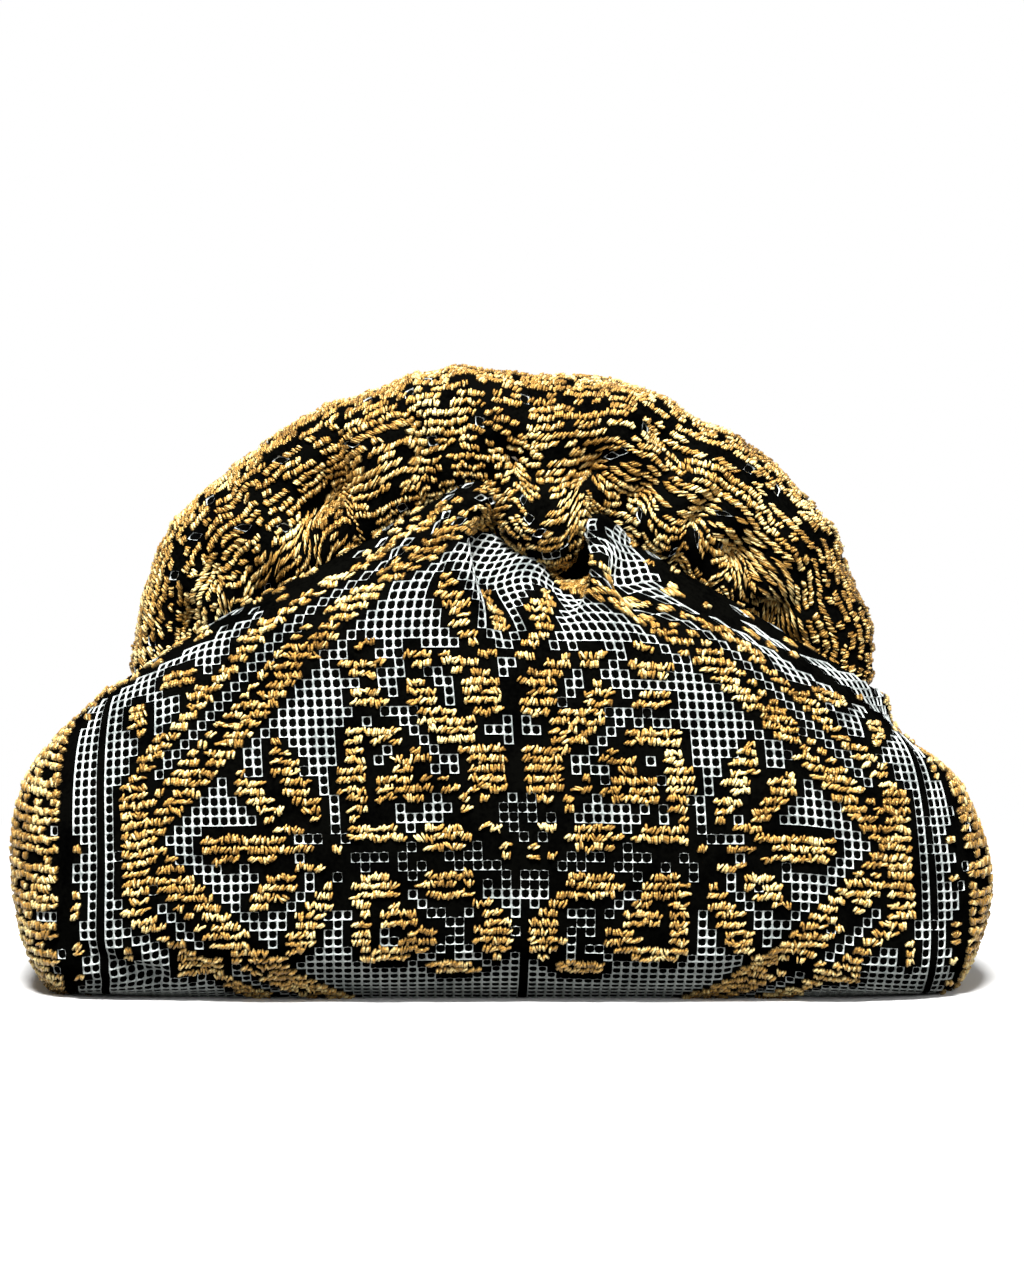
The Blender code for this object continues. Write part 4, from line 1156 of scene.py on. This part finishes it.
def addWadding(half, front):
    surface = rollSurface(inside["waddingColumns"], inside["waddingSteps"], plain=not front)
    facing = facingFront(surface)
    folds = foldDepth(surface, roll["folds"], roll["mostFold"]) * facing if front else 0.0
    inward = inside["waddingInset"] + inside["waddingSink"] * folds + inside["waddingFree"] * facing
    wave = ripples(surface, inside["waddingRippleSize"], seeds["wadding"])
    inward = inward + inside["waddingRipple"] * (1.0 + wave)
    magnetZ = 0.5 * sum(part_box("front_left_magnet")[k].z for k in (0, 1))
    away = np.hypot(np.abs(surface[..., 0]) - inside["magnetX"], surface[..., 2] - magnetZ)
    hollow = 1.0 - smoothstep(inside["magnetReach"] - inside["magnetRim"], inside["magnetReach"], away)
    inward = inward + inside["magnetHollow"] * hollow * (1.0 - facing)
    surface = pressed(surface, inward)
    if not front:
        surface = turnedRound(surface)
    # the last row is joined to the first, and each end is closed with one face
    rows, columns = surface.shape[:2]
    faces = gridFaces(rows + 1, columns) % (rows * columns)
    ends = [np.arange(rows)[None, ::-1] * columns, np.arange(rows)[None, :] * columns + columns - 1]
    pad = addMesh(half + "_wadding", surface.reshape(-1, 3), [faces, *ends], rollWadding)
    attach(pad, half + "_frame")
    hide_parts(half + "_padding")


addLining("front", liningSurface(plain=False))
addLining("rear", turnedRound(liningSurface(plain=True)))
addPocket()
addBase()
addWadding("front", True)
addWadding("rear", False)
print("inside sewn")

# Metal and board


def refinish(node, material):
    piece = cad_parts[node]
    piece.data.materials.clear()
    piece.data.materials.append(material)


for half in ("front", "rear"):
    refinish(half + "_bow", springSteel)
    for side in ("left", "right"):
        refinish(f"{half}_{side}_magnet", nickelPlate)
for side in ("left", "right"):
    refinish(side + "_hinge_rivet", nickelPlate)
    refinish(side + "_hinge_washer", nickelPlate)
refinish("base_board", boardStock)
print("metal and board finished")

# Floor, light and camera

view = {
    "frameHeight": 0.3315,  # metres that the picture's height spans at the bag's middle
    "distance": 0.8, "elevation": 2.5, "target": (0.0026, 0.0, 0.0885), "sensorWidth": 36.0,
    "paperLight": "#FAFAF9", "paperDark": "#F4F4F3",
    "paperGiven": "#3A3A38",  # what the paper throws back on the bag
    "paperSize": 8.0, "paperHeight": -0.0003, "paperCloud": 25.0,  # metres, and millimetres of its tone
    "whiteFrom": 0.17, "whiteTo": 0.45,  # the floor turns plain white between these distances from the bag
    "worldStrength": 0.09,
    # place, what it is aimed at, width and height, power in watts
    "lamps": {
        "topLamp": ((-0.05, -0.64, 0.86), (0.0, 0.0, 0.08), (0.34, 0.22), 36.0),
        "frontLamp": ((0.45, -1.00, 0.55), (0.0, 0.0, 0.08), (0.5, 0.4), 4.0),
    },
}


def seenRay(tree):
    # 1 for what the camera, a mirror or glass sees, 0 for the light that reaches the bag
    path = addNode(tree, "LightPath")
    seen = path.outputs["Is Camera Ray"]
    for kind in ("Is Glossy Ray", "Is Transmission Ray"):
        seen = addNode(tree, "Math", {0: seen, 1: path.outputs[kind]}, operation="MAXIMUM").outputs[0]
    return seen


def addFloor():
    # white paper: it takes the bag's shadow near by and is plain white further off
    bpy.ops.mesh.primitive_plane_add(size=view["paperSize"], location=(0.0, 0.0, view["paperHeight"]))
    floor = bpy.context.object
    floor.name = "studio_floor"
    material, tree, shader, coords = newMaterial("whitePaper")
    seen = seenRay(tree)
    grain = addNode(tree, "TexNoise", spaced(coords, view["paperCloud"]))
    ramp = addNode(tree, "ValToRGB", {"Fac": grain.outputs["Fac"]})
    setRamp(ramp, [(0.3, view["paperDark"]), (0.7, view["paperLight"])])
    colour = addNode(
        tree, "Mix", {"Factor": seen, 6: linear(view["paperGiven"]), 7: ramp.outputs["Color"]},
        data_type="RGBA",
    )
    fill(tree, shader, {"Base Color": colour.outputs[2], "Roughness": 0.9})
    away = addNode(tree, "VectorMath", {0: coords["Object"]}, operation="LENGTH")
    far = addNode(
        tree, "MapRange",
        {"Value": away.outputs["Value"], "From Min": view["whiteFrom"], "From Max": view["whiteTo"]},
        interpolation_type="SMOOTHSTEP",
    )
    plain = addNode(tree, "Math", {0: far.outputs["Result"], 1: seen}, operation="MULTIPLY")
    white = addNode(tree, "Emission", {"Color": linear("#FFFFFF"), "Strength": 1.0})
    mix = addNode(tree, "MixShader", {0: plain.outputs[0], 1: shader.outputs[0], 2: white.outputs[0]})
    fill(tree, tree.nodes["Material Output"], {"Surface": mix.outputs[0]})
    floor.data.materials.append(material)
    floor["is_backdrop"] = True


def addLamp(name, place, aim, size, power):
    lamp = bpy.data.lights.new(name, "AREA")
    lamp.energy = power
    lamp.shape = "RECTANGLE"
    lamp.size, lamp.size_y = size
    made = bpy.data.objects.new(name, lamp)
    made.location = place
    made.rotation_euler = (Vector(aim) - Vector(place)).to_track_quat("-Z", "Y").to_euler()
    bpy.context.scene.collection.objects.link(made)


def addWorld():
    world = bpy.context.scene.world or bpy.data.worlds.new("studio")
    bpy.context.scene.world = world
    world.use_nodes = True
    tree = world.node_tree
    tree.nodes.clear()
    dim = addNode(tree, "Background", {"Color": linear("#FFFFFF"), "Strength": view["worldStrength"]})
    white = addNode(tree, "Background", {"Color": linear("#FFFFFF"), "Strength": 1.0})
    mix = addNode(tree, "MixShader", {0: seenRay(tree), 1: dim.outputs[0], 2: white.outputs[0]})
    addNode(tree, "OutputWorld", {"Surface": mix.outputs[0]})


def addCamera():
    camera = bpy.data.cameras.new("camera")
    made = bpy.data.objects.new("camera", camera)
    tilt, target = math.radians(view["elevation"]), Vector(view["target"])
    made.location = target + view["distance"] * Vector((0.0, -math.cos(tilt), math.sin(tilt)))
    made.rotation_euler = (target - made.location).to_track_quat("-Z", "Y").to_euler()
    camera.sensor_width = view["sensorWidth"]
    camera.lens = camera.sensor_width * view["distance"] / view["frameHeight"]
    bpy.context.scene.collection.objects.link(made)
    bpy.context.scene.camera = made


addFloor()
addWorld()
for lampName, lampSettings in view["lamps"].items():
    addLamp(lampName, *lampSettings)
addCamera()
bpy.context.scene.view_settings.view_transform = "Standard"
print("studio set")

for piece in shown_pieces():
    if piece.type == "MESH":
        piece.data.calc_loop_triangles()
        print("triangles", piece.name, len(piece.data.loop_triangles))
